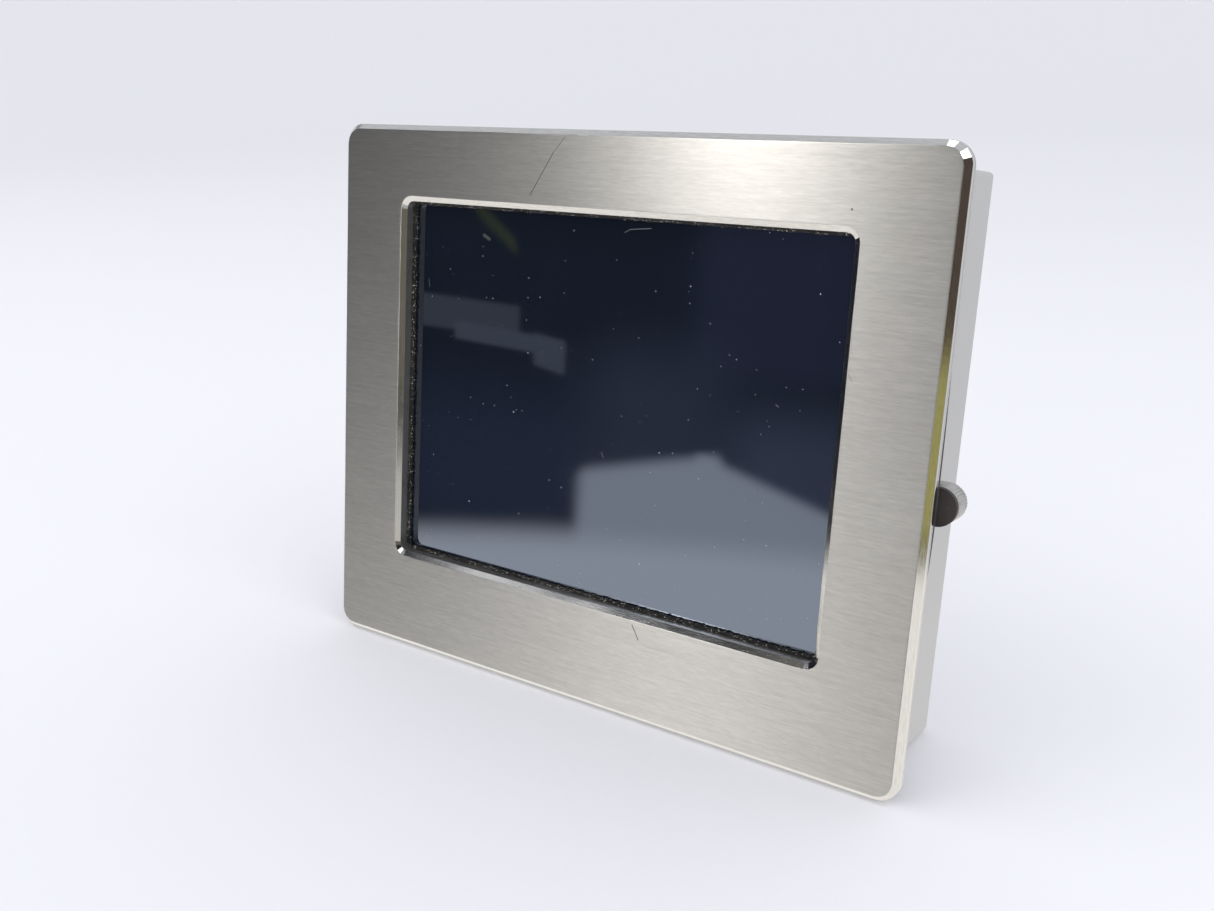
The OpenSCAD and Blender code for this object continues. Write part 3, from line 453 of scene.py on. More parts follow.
def plate_face_material(colours):
    """Horizontally brushed stainless steel with a few scratches."""
    material, tree, shader, mm = start_material("brushed_face")
    fine = placed(tree, "grain", mm, Stretch=(0.36, 3.0, 3.8), Detail=5.0, Contrast=2.0)
    long = placed(tree, "grain", mm, Stretch=(0.06, 1.0, 1.5), Detail=3.0, Contrast=1.6)
    stain = placed(tree, "grain", mm, Stretch=(0.03, 0.03, 0.05), Detail=2.0, Contrast=1.5)
    tone = maths(tree, "ADD", maths(tree, "MULTIPLY", fine, 0.55), maths(tree, "MULTIPLY", long, 0.45))
    steel = tuple(colours.steel)
    base = blended(tree, tone, tuple(c * 0.79 for c in steel), tuple(c * 1.21 for c in steel))
    base = blended(tree, maths(tree, "MULTIPLY", stain, 0.12), base, (0.50, 0.485, 0.46))
    shine = fitted(tree, tone, 0.2, 0.8, 0.32, 0.345, False)
    base = marked(tree, mm, base, PLATE_MARKS, -3.2, 0.9, (1, 1, 0.97))
    tangent = node(tree, "ShaderNodeTangent", direction_type="UV_MAP", uv_map="grain")
    shade(tree, shader, tone, 0.06, 0.006 * MM, Base_Color=base, Roughness=shine, Metallic=1.0,
          Anisotropic=0.82, Tangent=tangent.outputs[0])
    return material


def polished_material(name, colour, rough, stretch, bump):
    """Ground and polished steel with fine lines along its edge."""
    material, tree, shader, mm = start_material(name)
    lines = placed(tree, "grain", mm, Stretch=stretch, Detail=3.0, Contrast=1.8)
    base = blended(tree, lines, tuple(c * 0.86 for c in colour), tuple(min(1, c * 1.08) for c in colour))
    shine = fitted(tree, lines, 0.2, 0.8, rough * 0.6, rough * 1.5, False)
    shade(tree, shader, lines, bump, 0.01 * MM, Base_Color=base, Roughness=shine, Metallic=1.0)
    return material


def front_plate(sizes, colours):
    """Closed ring: a profile of (offset, place) rows carried round the outer and the opening outline.

    A row on the outer outline is moved along the outline's outward direction by its offset; a row on
    the opening does the same on the smaller outline. The bevels follow corners cut to flat facets.
    """
    (x0, x1), (y0, y1), (z0, z1) = spans("front_frame")
    corner = 5 * MM
    per_corner, per_side, facets = 25, 70, 4
    outer, outer_dir, outer_cut = rounded_outline(x1 - x0, z1 - z0, corner, per_corner, per_side, facets)
    inner, inner_dir, inner_cut = rounded_outline(
        OPENING_W, OPENING_H, OPENING_CORNER, per_corner, per_side, facets)
    count = len(outer)
    wave_out = ripple(count, [3, 7, 12, 19, 31], 5)[:, None] * 0.035 * MM
    wave_in = ripple(count, [4, 9, 15, 22, 37], 8)[:, None] * 0.04 * MM
    b, ob, od, e = sizes.bevel, sizes.opening_bevel, sizes.opening_depth, sizes.edge_break
    loop = 0.25 * MM
    # rows: outline, offset, y, cut to facets, wave, band of the strip that follows
    face, bevel, side, hollow, hidden, opening = range(6)
    rows = [
        ("in", 0, y1, 0, 0, hollow), ("in", 0, y1 - loop, 0, 0, hollow),
        ("in", 0, y0 + od + loop, 1, 0, hollow), ("in", 0, y0 + od + e, 1, 0, hollow),
        ("in", e * 0.6, y0 + od, 1, 0, opening),
        ("in", ob - e, y0 + e * 0.45, 1, 1, face), ("in", ob + e * 0.4, y0, 1, 1, face),
        ("in", ob + loop, y0, 0, 1, face),
        ("out", -b - loop, y0, 0, 1, face), ("out", -b - e * 0.4, y0, 1, 1, face),
        ("out", -b + e * 0.7, y0 + e * 0.7, 1, 1, bevel),
        ("out", -e * 0.7, y0 + b - e * 0.7, 1, 0, side), ("out", 0, y0 + b + e, 0, 0, side),
        ("out", 0, y0 + b + loop, 0, 0, side), ("out", 0, y1 - e, 0, 0, side),
        ("out", -e, y1, 0, 0, hidden), ("out", -e - loop, y1, 0, 0, hidden),
        ("in", loop, y1, 0, 0, hidden),
    ]
    lines, bands = [], []
    for which, offset, y, cut, wave, band in rows:
        base, out, scale, radius, swing = (
            (outer, outer_dir, outer_cut, corner, wave_out) if which == "out"
            else (inner, inner_dir, inner_cut, OPENING_CORNER, wave_in))
        moved = base + out * offset
        if cut:
            moved = moved + out * ((scale - 1) * (radius + offset))[:, None]
        if wave:
            moved = moved + out * swing
        moved = moved + np.array([0, OPENING_Z if which == "in" else (z0 + z1) / 2])
        lines.append(np.stack([moved[:, 0], np.full(count, y), moved[:, 1]], axis=-1))
        bands.append(band)
    points = np.stack(lines, axis=1)
    quads = wrap_quads(count, len(rows), close_v=True)[:, ::-1]
    band_of = np.tile(np.array(bands), count)
    smooth = ~np.isin(band_of, [bevel, opening])
    plate = build_mesh("front_plate", points, quads, bands=band_of, smooth=smooth)
    # a flat map of the face, turned so that its tangent runs up the plate, across the brushing
    layer = plate.data.uv_layers.new(name="grain")
    per_metre = 5
    verts = np.empty(len(plate.data.vertices) * 3, dtype=np.float32)
    plate.data.vertices.foreach_get("co", verts)
    corners = np.empty(len(plate.data.loops), dtype=np.int32)
    plate.data.loops.foreach_get("vertex_index", corners)
    at = verts.reshape(-1, 3)[corners]
    layer.data.foreach_set("uv", (at[:, [2, 0]] * per_metre).ravel())
    shiny, opening_steel = tuple(colours.bevel_steel), tuple(c * 0.97 for c in colours.bevel_steel)
    for material in (
            plate_face_material(colours),
            polished_material("polished_bevel", shiny, 0.07, (0.4, 6.0, 0.4), 0.1),
            polished_material("polished_side", shiny, 0.09, (0.8, 9.0, 0.8), 0.05),
            # the opening's cut wall: the bevels' steel, rougher and at half their brightness; partly a
            # rough cut edge, partly painted shade of the recess between the plate and the screen
            finish("opening_wall_painted_shade", tuple(c * 0.5 for c in shiny), 0.85, 0.3, stretch=(0.4, 9, 0.4),
                   vary=0.35, bump=0.3, dust=0.25),
            polished_material("plate_back", tuple(c * 0.8 for c in shiny), 0.3, (0.5, 3.0, 9.0), 0.1),
            polished_material("opening_bevel", opening_steel, 0.09, (0.5, 8.0, 0.5), 0.3)):
        plate.data.materials.append(material)
    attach(plate, "panel")
    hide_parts("front_frame")
    return plate


class PANELMAKER_OT_front_plate(bpy.types.Operator):
    """Make the brushed front plate with its polished, ground bevels"""
    bl_idname = "panelmaker.front_plate"
    bl_label = "Front plate"

    def execute(self, context):
        front_plate(context.scene.panel_sizes, context.scene.panel_colours)
        return {"FINISHED"}


# ---- Screen and its foam ----

# Hairs and smudges on the screen, in mm: from (x, z), to (x, z), width, brightness
SCREEN_MARKS = [
    ((3.27, 45.34), (4.56, 46.09), 0.09, 0.3), ((4.56, 46.09), (10.06, 46.66), 0.10, 0.35),
    ((-37.4, 42.0), (-35.8, 41.2), 0.6, 0.10), ((0.3, -5.7), (0.9, -6.9), 0.08, 0.25),
    ((44.0, 12.0), (44.6, 11.6), 0.10, 0.3), ((-55.0, 30.0), (-54.6, 28.0), 0.08, 0.2),
]


def screen_material(colours):
    """Glossy touch film, near black, with dust, a smudge and a hair."""
    material, tree, shader, mm = start_material("touch_surface")
    base = tuple(colours.screen)
    fine = placed(tree, "dust", mm, Density=0.56, Size=0.09)
    coarse = placed(tree, "dust", mm, Density=0.23, Size=0.055)
    haze = placed(tree, "grain", mm, Stretch=(0.02, 0.02, 0.03), Detail=3.0, Contrast=1.6)
    colour = blended(tree, haze, base, tuple(c * 1.35 for c in base))
    specks = maths(tree, "MULTIPLY", maths(tree, "MAXIMUM", fine, coarse), 0.85)
    colour = blended(tree, specks, colour, (0.60, 0.64, 0.72))
    colour = marked(tree, mm, colour, SCREEN_MARKS, 1.0, 0.8, (1, 1, 1))
    shine = fitted(tree, haze, 0.2, 0.8, 0.02, 0.04, False)
    shine = maths(tree, "ADD", shine, maths(tree, "MULTIPLY", specks, 0.8), clamp=True)
    fill(tree, shader, Base_Color=colour, Roughness=shine, IOR=2.9, Specular_Tint=(0.66, 0.745, 0.90, 1.0))
    return material


def screen_foam(sizes, colours):
    """Foam strip: a rounded strip profile carried round the opening, its inner side pushed in and out.

    The push is a sum of sines round the loop and across the strip, with random phases, so that the
    strip's edge is lumpy and never the same twice.
    """
    (x0, x1), (y0, y1), _ = spans("screen_gasket")
    reach = (x1 - x0 - OPENING_W) / 2
    base, out, _ = rounded_outline(OPENING_W, OPENING_H, OPENING_CORNER, 40, 420)
    count = len(base)
    show = sizes.foam_show
    low, high = y0 + 0.02 * MM, y1 - 0.01 * MM
    profile = np.array([
        [reach, low], [0.5 * MM, low], [-show * 0.6, low + 0.03 * MM], [-show * 0.92, low + 0.14 * MM],
        [-show, low + 0.3 * MM], [-show * 1.02, low + 0.5 * MM], [-show, low + 0.72 * MM],
        [-show * 0.94, high], [0.5 * MM, high], [reach, high]])
    rng = np.random.default_rng(11)
    t = np.arange(count) / count * TAU
    push = np.zeros((count, len(profile)))
    for waves, size in ((61, 0.5), (137, 0.55), (283, 0.6), (447, 0.5), (611, 0.45)):
        phase = rng.uniform(0, TAU, len(profile))
        push += size * np.sin(t[:, None] * waves + np.cumsum(phase * 0.35)[None, :])
    push *= sizes.foam_rough / 1.3
    soft = np.array([0, 0, 0.7, 1, 1, 1, 1, 0.6, 0, 0])
    offset = profile[None, :, 0] + push * soft[None, :]
    drop = np.array([0, 0, 0.25, 0.3, 0.3, 0.3, 0.3, 0, 0, 0])
    y = profile[None, :, 1] + push * drop[None, :]
    y = np.clip(y, low, high)
    flat = base[:, None, :] + out[:, None, :] * offset[:, :, None]
    points = np.stack([flat[..., 0], y, flat[..., 1] + OPENING_Z], axis=-1)
    foam = build_mesh("screen_foam", points, wrap_quads(count, len(profile), close_v=True))
    foam.data.materials.append(finish(
        "dusty_foam", tuple(colours.foam), 0.0, 0.95, stretch=(7, 7, 7), vary=0.5, bump=0.9, depth=0.1,
        film=0.02, specks=(2.9, 0.5), dust=1.0, dust_colour=(0.80, 0.76, 0.68)))
    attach(foam, "panel")
    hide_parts("screen_gasket")


class PANELMAKER_OT_screen(bpy.types.Operator):
    """Finish the touch film and make the foam strip round it"""
    bl_idname = "panelmaker.screen"
    bl_label = "Screen"

    def execute(self, context):
        colours = context.scene.panel_colours
        dress("touch_film", screen_material(colours))
        screen_foam(context.scene.panel_sizes, colours)
        return {"FINISHED"}


# ---- Clamps ----

def clamp_screws(sizes):
    """Turned screws: a threaded shank, its stop ring and a head with a hexagon socket."""
    depth = sizes.thread_depth
    for side in ("right", "left"):
        name = side + "_clamp_screw"
        (x0, x1), (y0, y1), (z0, z1) = spans(name)
        at = ((x0 + x1) / 2, (z0 + z1) / 2)
        head = y1 - 2.5 * MM
        radius, pitch = 1.99 * MM, 0.7 * MM
        start, end = y0 + 0.1 * MM, head - 1.8 * MM
        thread = np.concatenate([
            [[0.9 * MM, y0], [1.5 * MM, y0]], screw_rows(radius, start, end, pitch),
            [[radius, head + 0.2 * MM]]])
        shank = turned(thread, at, 40, helix=(pitch, depth, start, end))
        # rows in mm: radius and place above the head's underside; the last four are the socket
        ring_rows = [[2.2, -1.1], [3.35, -1.1], [3.4, -1.05], [3.4, -0.35], [3.35, -0.3], [2.2, -0.3]]
        cap_rows = [[3.5, 0], [3.8, 0.2], [3.8, 0.6], [3.8, 2.1], [3.72, 2.35], [3.45, 2.5],
                    [1.7, 2.5], [1.45, 2.3], [1.45, 1.0], [1.4, 0.95]]
        ring = turned(np.array(ring_rows) * MM + [0, head], at)
        cap = turned(np.array(cap_rows) * MM + [0, head], at, shapes=[0] * 6 + [1] * 4)
        piece = build_mesh(side + "_screw_turned", *joined([shank, ring, cap]))
        piece.data.materials.append(finish(
            side + "_screw_zinc", (0.66, 0.65, 0.62), 1.0, 0.3, stretch=(6, 6, 6), vary=0.12, bump=0.2,
            depth=0.01, dust=0.25))
        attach(piece, side + "_screw")
        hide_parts(name)


def clamp_arms(sizes, metal):
    """Clamp arms: an outline of two half circles with straight sides, carried along the depth.

    Round the far end the outline dips in fine grooves, by a high power of the cosine of the angle
    times half their count to a full turn. The inner loop is the collar's hole, and each of its points
    lies at the angle of the outline's point.
    """
    hole, broken = 2.96 * MM, 0.12 * MM
    sharpness, grooved = 14, 1.15
    far = np.linspace(-math.pi / 2, math.pi / 2, 361)
    near = np.linspace(math.pi / 2, 1.5 * math.pi, 61)
    turn = np.concatenate([far, near])
    count = len(turn)
    groove = np.abs(np.cos(far * sizes.rim_grooves / 2)) ** sharpness * (np.abs(far) < grooved)
    dip = np.concatenate([groove * sizes.groove_depth, np.zeros(len(near))])
    way = np.stack([np.cos(turn), np.sin(turn)], axis=-1)
    for side, sign in (("right", 1), ("left", -1)):
        name = side + "_pawl"
        (x0, x1), (y0, y1), (z0, z1) = spans(name)
        radius = (z1 - z0) / 2
        reach = x1 - x0 - 2 * radius
        pivot = x0 + radius if sign > 0 else x1 - radius
        shift = np.concatenate([np.full(len(far), reach), np.zeros(len(near))])
        spot = way * (radius - dip)[:, None] + np.stack([shift, np.zeros(count)], axis=-1)
        angle = np.arctan2(spot[:, 1], spot[:, 0])
        ring = np.stack([np.cos(angle), np.sin(angle)], axis=-1)
        rows = [(spot - way * broken, y0), (spot, y0 + broken), (spot, y1 - broken),
                (spot - way * broken, y1), (ring * (hole + broken), y1), (ring * hole, y1 - broken),
                (ring * hole, y0 + broken), (ring * (hole + broken), y0)]
        points = np.stack([
            np.stack([at[:, 0] * sign + pivot, np.full(count, y), at[:, 1] + (z0 + z1) / 2], axis=-1)
            for at, y in rows], axis=1)
        quads = wrap_quads(count, len(rows), close_v=True)
        # only the rim and the hole's wall, the strips after rows 1 and 5, are smooth
        rounded = np.isin(np.tile(np.arange(len(rows)), count), (1, 5))
        piece = build_mesh(side + "_arm_grooved", points, quads[:, ::-sign], smooth=rounded)
        piece.data.materials.append(metal)
        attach(piece, name)
        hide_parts(name)


CLAMP_FINISHES = {
    "clamp_pad_rubber": (("right_pawl_pad", "left_pawl_pad"), (0.050, 0.042, 0.037), 0.0, 0.62,
                         {"stretch": (4, 4, 4), "vary": 0.12, "bump": 0.3, "dust": 0.12}),
    "clamp_nut_brass": (("right_clamp_nut", "left_clamp_nut"), (0.72, 0.52, 0.24), 1.0, 0.3,
                        {"stretch": (3, 3, 3), "vary": 0.1}),
    "clamp_guide_sheet": (("clamp_guides",), (0.48, 0.48, 0.47), 1.0, 0.38,
                          {"stretch": (1, 8, 1), "vary": 0.1}),
}


class PANELMAKER_OT_clamps(bpy.types.Operator):
    """Make the clamp screws and finish the arms, pads, nuts and guides"""
    bl_idname = "panelmaker.clamps"
    bl_label = "Clamps"

    def execute(self, context):
        clamp_screws(context.scene.panel_sizes)
        arm = finish("clamp_arm_metal", (0.56, 0.55, 0.54), 0.85, 0.36, stretch=(2.2, 0.25, 2.2), vary=0.45,
                     rough_vary=0.1, bump=0.35, depth=0.03, dust=0.2)
        clamp_arms(context.scene.panel_sizes, arm)
        dress_all(CLAMP_FINISHES)
        return {"FINISHED"}


# ---- Housing ----

HOUSING_FINISHES = {
    "seal_rubber_matt": (("mounting_gasket",), (0.022, 0.021, 0.020), 0.0, 0.7,
                         {"vary": 0.2, "bump": 0.3, "depth": 0.03, "dust": 0.35}),
    "plate_film_blank": (("rating_plate",), (0.74, 0.75, 0.76), 0.3, 0.35,
                         {"stretch": (0.3, 3, 9), "vary": 0.04, "dust": 0.1}),
    "zinc_plating": (("housing_screws", "earth_stud", "earth_washer", "frame_studs", "board_spacers",
                      "board_screws", "plug_screws", "serial_posts"), (0.66, 0.66, 0.63), 1.0, 0.3,
                     {"stretch": (4, 4, 4), "vary": 0.12, "bump": 0.2, "depth": 0.01, "dust": 0.2}),
    "turned_brass": (("earth_nut", "lower_pillars", "upper_pillars"), (0.72, 0.53, 0.25), 1.0, 0.28,
                     {"stretch": (3, 3, 3), "vary": 0.1}),
    "rivet_aluminium": (("bay_rivets",), (0.74, 0.75, 0.76), 1.0, 0.34, {"stretch": (5, 5, 5)}),
}


class PANELMAKER_OT_housing(bpy.types.Operator):
    """Finish the housing, the connector bay, the seal and the small hardware on them"""
    bl_idname = "panelmaker.housing"
    bl_label = "Housing"

    def execute(self, context):
        colours = context.scene.panel_colours
        shell = finish("housing_coat", tuple(colours.housing), 0.35, 0.42, stretch=(5, 5, 5), vary=0.03,
                       rough_vary=0.05, bump=0.12, depth=0.015, dust=0.15)
        dress("rear_housing", shell)
        dress("connector_bay", shell)
        dress_all(HOUSING_FINISHES)
        return {"FINISHED"}


# ---- Ports and inner parts ----

PORT_FINISHES = {
    "port_shell_tin": (("serial_socket", "mode_switch", "card_socket"), (0.66, 0.66, 0.64), 1.0, 0.28,
                       {"stretch": (4, 4, 4), "dust": 0.15}),
    "socket_tin": (("ethernet_socket", "usb_socket"), (0.70, 0.70, 0.68), 1.0, 0.26,
                   {"stretch": (5, 5, 5), "dust": 0.15}),
    "header_moulding": (("power_header",), (0.03, 0.20, 0.08), 0.0, 0.48, {"dust": 0.2}),
    "plug_moulding": (("power_plug",), (0.04, 0.28, 0.10), 0.0, 0.45, {"dust": 0.2}),
    "black_moulding": (("mode_lever", "reset_button", "reset_switch"), (0.02, 0.02, 0.02), 0.0, 0.45,
                       {"dust": 0.15}),
    "card_moulding": (("memory_card",), (0.028, 0.028, 0.033), 0.0, 0.4, {"dust": 0.1}),
    "light_pipe": (("status_lamps",), (0.32, 0.58, 0.35), 0.0, 0.25, {"vary": 0.05}),
    "amber_film": (("touch_tail", "display_cable"), (0.62, 0.34, 0.07), 0.0, 0.3,
                   {"stretch": (0.5, 6, 6)}),
    "bezel_sheet": (("display_bezel",), (0.58, 0.58, 0.56), 1.0, 0.34, {"stretch": (0.4, 4, 8)}),
    "galvanised_sheet": (("carrier_bracket",), (0.60, 0.62, 0.64), 1.0, 0.4,
                         {"stretch": (0.4, 0.4, 0.4), "vary": 0.15}),
    "inner_foam": (("display_gasket",), (0.03, 0.03, 0.03), 0.0, 0.95, {"stretch": (7, 7, 7)}),
    "panel_glass": (("touch_glass",), (0.10, 0.13, 0.14), 0.0, 0.05, {"bump": 0.0}),
    "cell_surface": (("display_cell",), (0.012, 0.014, 0.02), 0.0, 0.12, {"bump": 0.02}),
    "white_moulding": (("diffuser_sheets", "light_guide", "display_tray"), (0.84, 0.84, 0.82), 0.0, 0.5,
                       {}),
    "lamp_strip_mask": (("backlight_strip",), (0.78, 0.76, 0.58), 0.0, 0.4, {}),
    "solder_mask": (("main_board",), (0.015, 0.13, 0.055), 0.0, 0.32,
                    {"stretch": (1.5, 1.5, 1.5), "vary": 0.25}),
    "connector_moulding": (("board_connectors",), (0.74, 0.72, 0.64), 0.0, 0.5, {}),
    "chip_moulding": (("processor", "memory_chips"), (0.03, 0.03, 0.03), 0.0, 0.5, {}),
    "sink_aluminium": (("heat_sink",), (0.74, 0.75, 0.76), 1.0, 0.36, {"stretch": (6, 0.6, 0.6)}),
    "capacitor_sleeve": (("capacitors",), (0.10, 0.14, 0.22), 0.0, 0.3, {}),
    "pressed_ferrite": (("power_coils",), (0.10, 0.10, 0.10), 0.0, 0.6, {}),
    "holder_moulding": (("battery_holder",), (0.04, 0.04, 0.04), 0.0, 0.5, {}),
    "cell_can": (("battery",), (0.70, 0.70, 0.68), 1.0, 0.25, {"stretch": (0.5, 5, 5)}),
}


class PANELMAKER_OT_ports(bpy.types.Operator):
    """Finish the ports, the board and the display module's layers"""
    bl_idname = "panelmaker.ports"
    bl_label = "Ports and board"

    def execute(self, context):
        dress_all(PORT_FINISHES)
        return {"FINISHED"}


# ---- Floor, light and camera ----

# What polished and brushed metal sees round it. Each patch has its middle azimuth (0 in front, positive
# to the right) and elevation in degrees, half its width and height, its softness, its light and, where
# it leans, its slant.
STUDIO = [
    ((-180, 10), (75, 60), 14, (0.66, 0.67, 0.69)),
    ((180, 10), (75, 60), 14, (0.66, 0.67, 0.69)),
    ((0, 76), (200, 28), 6, (0.60, 0.62, 0.66)),
    ((0, 90), (200, 8), 1.5, (2.6, 2.6, 2.6)),
    ((-38, 32.5), (9, 2.6), 1.2, (0.80, 0.82, 0.86)),
    ((-10, 36), (18, 20), 6, (0.30, 0.30, 0.28)),
    ((-28.8, 18), (2.0, 11), 0.9, (18.0, 17.6, 16.9)),
    ((-93, 45), (14, 10), 3, (0.60, 0.62, 0.66)),
    ((-7, 30), (4, 4), 1, (2.4, 2.4, 2.3)),
    ((20, -1), (9, 10), 4, (0.16, 0.15, 0.12)),
    ((52, -2), (10, 16), 4, (0.42, 0.40, 0.30)),
    ((72, 6), (8, 14), 2, (0.085, 0.065, 0.055)),
    ((72, -11), (8, 4.5), 1.5, (0.36, 0.34, 0.13)),
    ((70, 45), (9, 8), 2, (3.2, 3.2, 3.2)),
    ((-24.2, -3), (5.3, 5.5), 1.0, (0.05, 0.05, 0.085)),
    ((-39, -13), (5, 3.4), 2.6, (0.05, 0.055, 0.09)),
    ((-31, -11), (3.5, 3.6), 2.4, (0.085, 0.09, 0.125)),
    ((-23.5, -13), (4, 3), 2.2, (0.13, 0.135, 0.19)),
    ((0, -52), (200, 35.8), 1.0, (0.98, 0.96, 0.93)),
    ((20, -17), (10, 4.4), 1.8, (0.62, 0.60, 0.58)),
    ((-31.2, -15.2), (3.4, 2.6), 0.45, (0.90, 0.90, 0.93), 0.16),
    ((-25.2, -16.0), (3.7, 2.6), 0.4, (0.90, 0.90, 0.93), -0.36),
    ((-32, -18.9), (12, 2.4), 1.0, (1.3, 1.3, 1.3)),
    ((-47, -28), (8, 7), 2, (0.5, 0.49, 0.48)),
    ((-47, 54), (9, 12), 4, (0.3, 0.31, 0.33)),
    ((-29, -30.5), (4.4, 7), 3, (1.9, 1.85, 1.76)),
    ((-40.3, -6.1), (2.5, 0.75), 0.13, (0.15, 0.15, 0.165), -0.1),
    ((-38.2, -7.15), (2.6, 0.42), 0.13, (0.19, 0.20, 0.22), -0.14),
    ((-36.3, -7.75), (0.75, 0.75), 0.15, (0.19, 0.20, 0.22), -0.3),
    ((-39.0, -2.0), (0.95, 0.33), 0.25, (0.11, 0.115, 0.035), -0.93),
]


def patch_group():
    """Soft window with rounded corners in azimuth and elevation, in degrees; gives a mask of 0..1.

    Slant is how much its middle rises per degree of azimuth. The mask falls with the distance from a
    smaller rectangle, which leaves room for the corner's radius.
    """
    group, start, end = new_group(
        "Light Patch",
        [(label, "NodeSocketFloat", value) for label, value in (
            ("Azimuth", 0.0), ("Elevation", 0.0), ("Middle Azimuth", 0.0), ("Middle Elevation", 0.0),
            ("Half Width", 10.0), ("Half Height", 10.0), ("Softness", 2.0), ("Slant", 0.0))],
        [("Mask", "NodeSocketFloat")])
    value = start.outputs
    across = maths(group, "SUBTRACT", value["Azimuth"], value["Middle Azimuth"])
    rise = maths(group, "MULTIPLY", across, value["Slant"])
    above = maths(group, "SUBTRACT", value["Elevation"], value["Middle Elevation"])
    up = maths(group, "SUBTRACT", above, rise)
    squares = []
    for away, half in ((across, "Half Width"), (up, "Half Height")):
        inner = maths(group, "SUBTRACT", value[half], value["Softness"])
        past = maths(group, "SUBTRACT", maths(group, "ABSOLUTE", away), inner)
        squares.append(maths(group, "POWER", maths(group, "MAXIMUM", past, 0.0), 2.0))
    distance = maths(group, "SQRT", maths(group, "ADD", *squares))
    reach = maths(group, "MULTIPLY", value["Softness"], 2.0)
    group.links.new(fitted(group, distance, 0.0, reach, 1.0, 0.0), end.inputs[0])
    return group


def studio_world():
    """World: a pale backdrop for the camera, even light for matt surfaces, the studio for glossy ones."""
    world = bpy.data.worlds.new("studio_world")
    bpy.context.scene.world = world
    world.use_nodes = True
    tree = world.node_tree
    tree.nodes.clear()
    place = node(tree, "ShaderNodeTexCoord")
    x, y, z = node(tree, "ShaderNodeSeparateXYZ", place.outputs["Generated"]).outputs
    degrees = 180 / math.pi
    azimuth = maths(tree, "MULTIPLY", maths(tree, "ARCTAN2", x, maths(tree, "MULTIPLY", y, -1.0)), degrees)
    elevation = maths(tree, "MULTIPLY", maths(tree, "ARCSINE", z), degrees)
    light = (0.016, 0.018, 0.024)
    keys = ("Middle Azimuth", "Middle Elevation", "Half Width", "Half Height", "Softness", "Slant")
    for middle, half, soft, colour, *slant in STUDIO:
        made = node(tree, "ShaderNodeGroup", node_tree=GROUPS["patch"], Azimuth=azimuth,
                    Elevation=elevation, **dict(zip(keys, (*middle, *half, soft, *slant))))
        light = blended(tree, made.outputs[0], light, colour)
    glossy = node(tree, "ShaderNodeBackground", light)
    even = node(tree, "ShaderNodeBackground", (0.95, 0.96, 1.0, 1.0), Strength=0.93)
    backdrop = node(tree, "ShaderNodeBackground", (0.765, 0.78, 0.88, 1.0))
    rays = node(tree, "ShaderNodeLightPath").outputs
    seen = node(tree, "ShaderNodeMixShader", rays["Is Glossy Ray"], even.outputs[0], glossy.outputs[0])
    seen = node(tree, "ShaderNodeMixShader", rays["Is Camera Ray"], seen.outputs[0], backdrop.outputs[0])
    node(tree, "ShaderNodeOutputWorld", Surface=seen.outputs[0])


def floor_plane(colours):
    """Floor that touches the plate's lower edge and the housing's rear lower edge: a disc and a bowl.

    The disc lies under the panel and takes its shadow; the bowl round it fills the view and lights
    nothing. A point of the bowl is the middle plus its reach along a direction that turns once round
    in the floor's plane, plus its lift along the plane's upward direction. Reach and lift follow a
    straight line, then a quarter circle, then a straight rim.
    """
    low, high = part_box("front_frame")
    rear, rear_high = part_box("rear_housing")
    first = np.array([0.0, high[1], low[2]])
    second = np.array([0.0, rear_high[1], rear[2]])
    along = (second - first) / np.linalg.norm(second - first)
    upward = np.array([0.0, -along[2], along[1]])
    middle = first - upward * 0.05 * MM
    sides, disc_radius, flat_radius, bend_radius, rim_height = 72, 0.11, 1.6, 1.2, 2.6
    turns = np.arange(sides) / sides * TAU
    spread = np.cos(turns)[:, None] * np.array([1.0, 0, 0]) + np.sin(turns)[:, None] * along
    material, tree, shader, mm = start_material("pale_floor")
    # the floor's colour turns 7% darker from 100 mm in front to 900 mm behind: painted shade for the light
    # that falls off towards the back
    depth = fitted(tree, node(tree, "ShaderNodeSeparateXYZ", mm).outputs[1], -100, 900)
    colour = tuple(colours.floor)
    fill(tree, shader, Base_Color=blended(tree, depth, colour, tuple(c * 0.93 for c in colour)),
         Roughness=0.8, Specular_IOR_Level=0.1)
    bend = np.linspace(0, math.pi / 2, 24)
    reach = np.concatenate([
        [disc_radius], flat_radius + bend_radius * np.sin(bend), [flat_radius + bend_radius]])
    lift = np.concatenate([[0], bend_radius * (1 - np.cos(bend)), [rim_height]])
    bowl = middle + spread[:, None, :] * reach[None, :, None] + upward * lift[None, :, None]
    sweep = build_mesh("floor", bowl, wrap_quads(sides, len(reach))[:, ::-1])
    disc = np.concatenate([middle + spread * disc_radius, [middle]])
    ring = np.arange(sides)
    patch = build_mesh("floor_near", disc, np.empty((0, 4)), np.stack(
        [ring, np.roll(ring, -1), np.full(sides, sides)], axis=-1), smooth=False)
    sweep.visible_glossy = False
    sweep.visible_diffuse = False
    sweep.visible_shadow = False
    patch.visible_glossy = False
    for part in (sweep, patch):
        part.data.materials.append(material)


def area_light(name, at, size, power, colour):
    """Soft lamp aimed at the panel; it lights matt surfaces only, and the studio does the reflections."""
    lamp = bpy.data.lights.new(name, "AREA")
    lamp.shape, lamp.size, lamp.size_y = "RECTANGLE", *size
    lamp.energy, lamp.color = power, colour
    obj = bpy.data.objects.new(name, lamp)
    bpy.context.scene.collection.objects.link(obj)
    aim = Vector((0, 0, 0)) - Vector(at)
    obj.matrix_world = Matrix.Translation(at) @ aim.to_track_quat("-Z", "Y").to_matrix().to_4x4()
    obj.visible_glossy = False


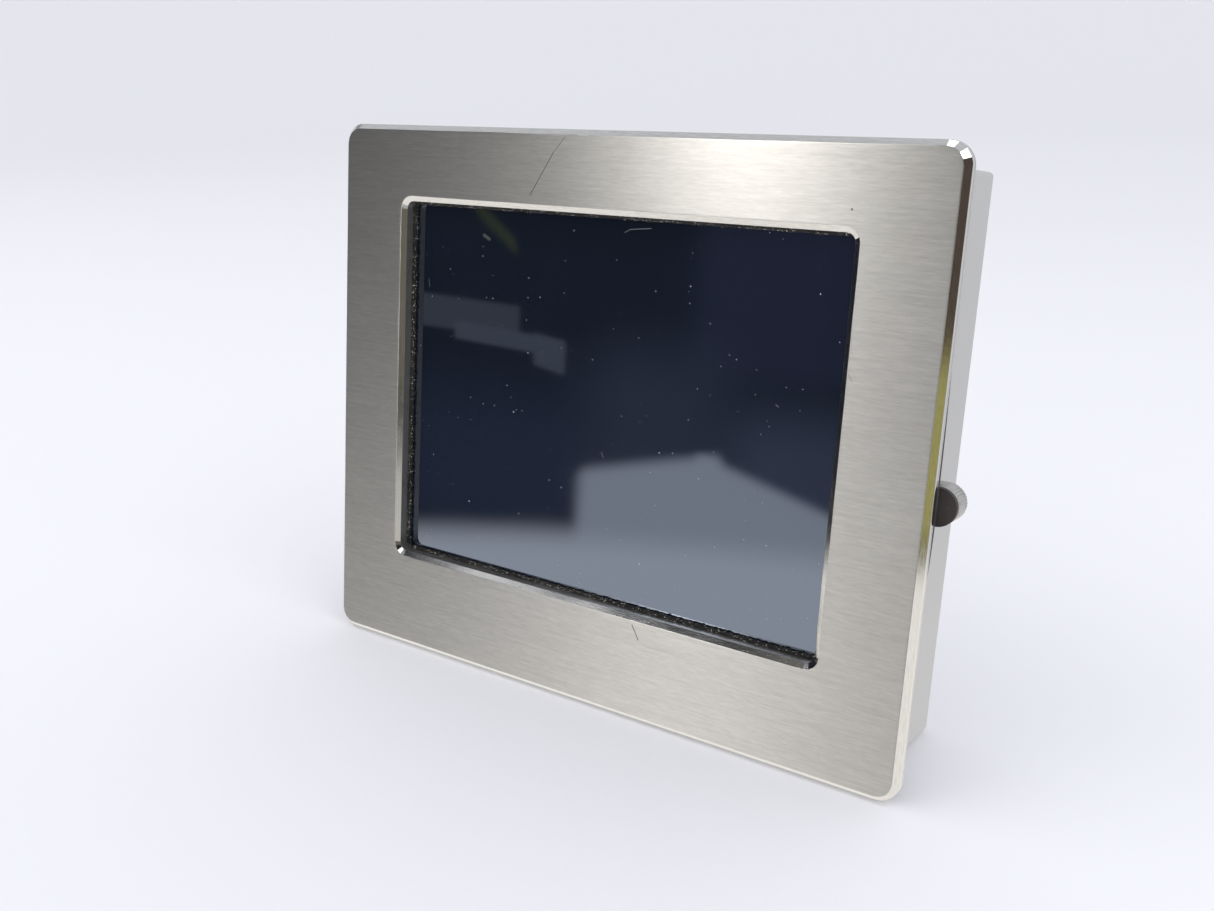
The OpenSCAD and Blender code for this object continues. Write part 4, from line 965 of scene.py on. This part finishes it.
def camera():
    """Camera at the front right, a little above the panel, with a slight roll."""
    right = Vector((0.82778, 0.55818, 0.05667))
    up = Vector((-0.16618, 0.14746, 0.97501))
    back = right.cross(up).normalized()
    up = back.cross(right).normalized()
    lens = bpy.data.cameras.new("camera")
    lens.sensor_fit, lens.sensor_width, lens.lens = "HORIZONTAL", 36, 35.802
    lens.clip_start, lens.clip_end = 0.01, 50
    obj = bpy.data.objects.new("camera", lens)
    bpy.context.scene.collection.objects.link(obj)
    turn = Matrix((right.normalized(), up, back)).transposed().to_4x4()
    obj.matrix_world = Matrix.Translation((0.15342, -0.22984, 0.05452)) @ turn
    bpy.context.scene.camera = obj


class PANELMAKER_OT_stage(bpy.types.Operator):
    """Set up the pale floor, the studio light and the camera"""
    bl_idname = "panelmaker.stage"
    bl_label = "Stage"

    def execute(self, context):
        context.scene.view_settings.view_transform = "Standard"
        studio_world()
        floor_plane(context.scene.panel_colours)
        area_light("key_lamp", (-0.9, -0.8, 1.3), (1.2, 1.2), 4.0, (1.0, 0.98, 0.95))
        area_light("fill_lamp", (1.3, -0.4, 1.0), (1.2, 1.2), 5.0, (0.96, 0.98, 1.0))
        camera()
        return {"FINISHED"}


# ---- Panel and registration ----

OPERATORS = (
    PANELMAKER_OT_stage, PANELMAKER_OT_front_plate, PANELMAKER_OT_screen, PANELMAKER_OT_clamps,
    PANELMAKER_OT_housing, PANELMAKER_OT_ports)


class PANELMAKER_PT_sidebar(bpy.types.Panel):
    """Lists the panel's sizes, colours and operators"""
    bl_label = "Touch Operator Panel"
    bl_idname = "PANELMAKER_PT_sidebar"
    bl_space_type = "VIEW_3D"
    bl_region_type = "UI"
    bl_category = "Panel Maker"

    def draw(self, context):
        for settings in (context.scene.panel_sizes, context.scene.panel_colours):
            for key in settings.__annotations__:
                self.layout.prop(settings, key)
        for operator in OPERATORS:
            self.layout.operator(operator.bl_idname)


CLASSES = (PanelMakerSizes, PanelMakerColours, *OPERATORS, PANELMAKER_PT_sidebar)


def register():
    for item in CLASSES:
        bpy.utils.register_class(item)
    bpy.types.Scene.panel_sizes = PointerProperty(type=PanelMakerSizes)
    bpy.types.Scene.panel_colours = PointerProperty(type=PanelMakerColours)


def unregister():
    del bpy.types.Scene.panel_sizes
    del bpy.types.Scene.panel_colours
    for item in reversed(CLASSES):
        bpy.utils.unregister_class(item)


def main():
    register()
    GROUPS.update(grain=grain_group(), dust=dust_group(), mark=mark_group(), patch=patch_group())
    for operator in OPERATORS:
        family, action = operator.bl_idname.split(".")
        getattr(getattr(bpy.ops, family), action)()


if __name__ == "__main__":
    main()
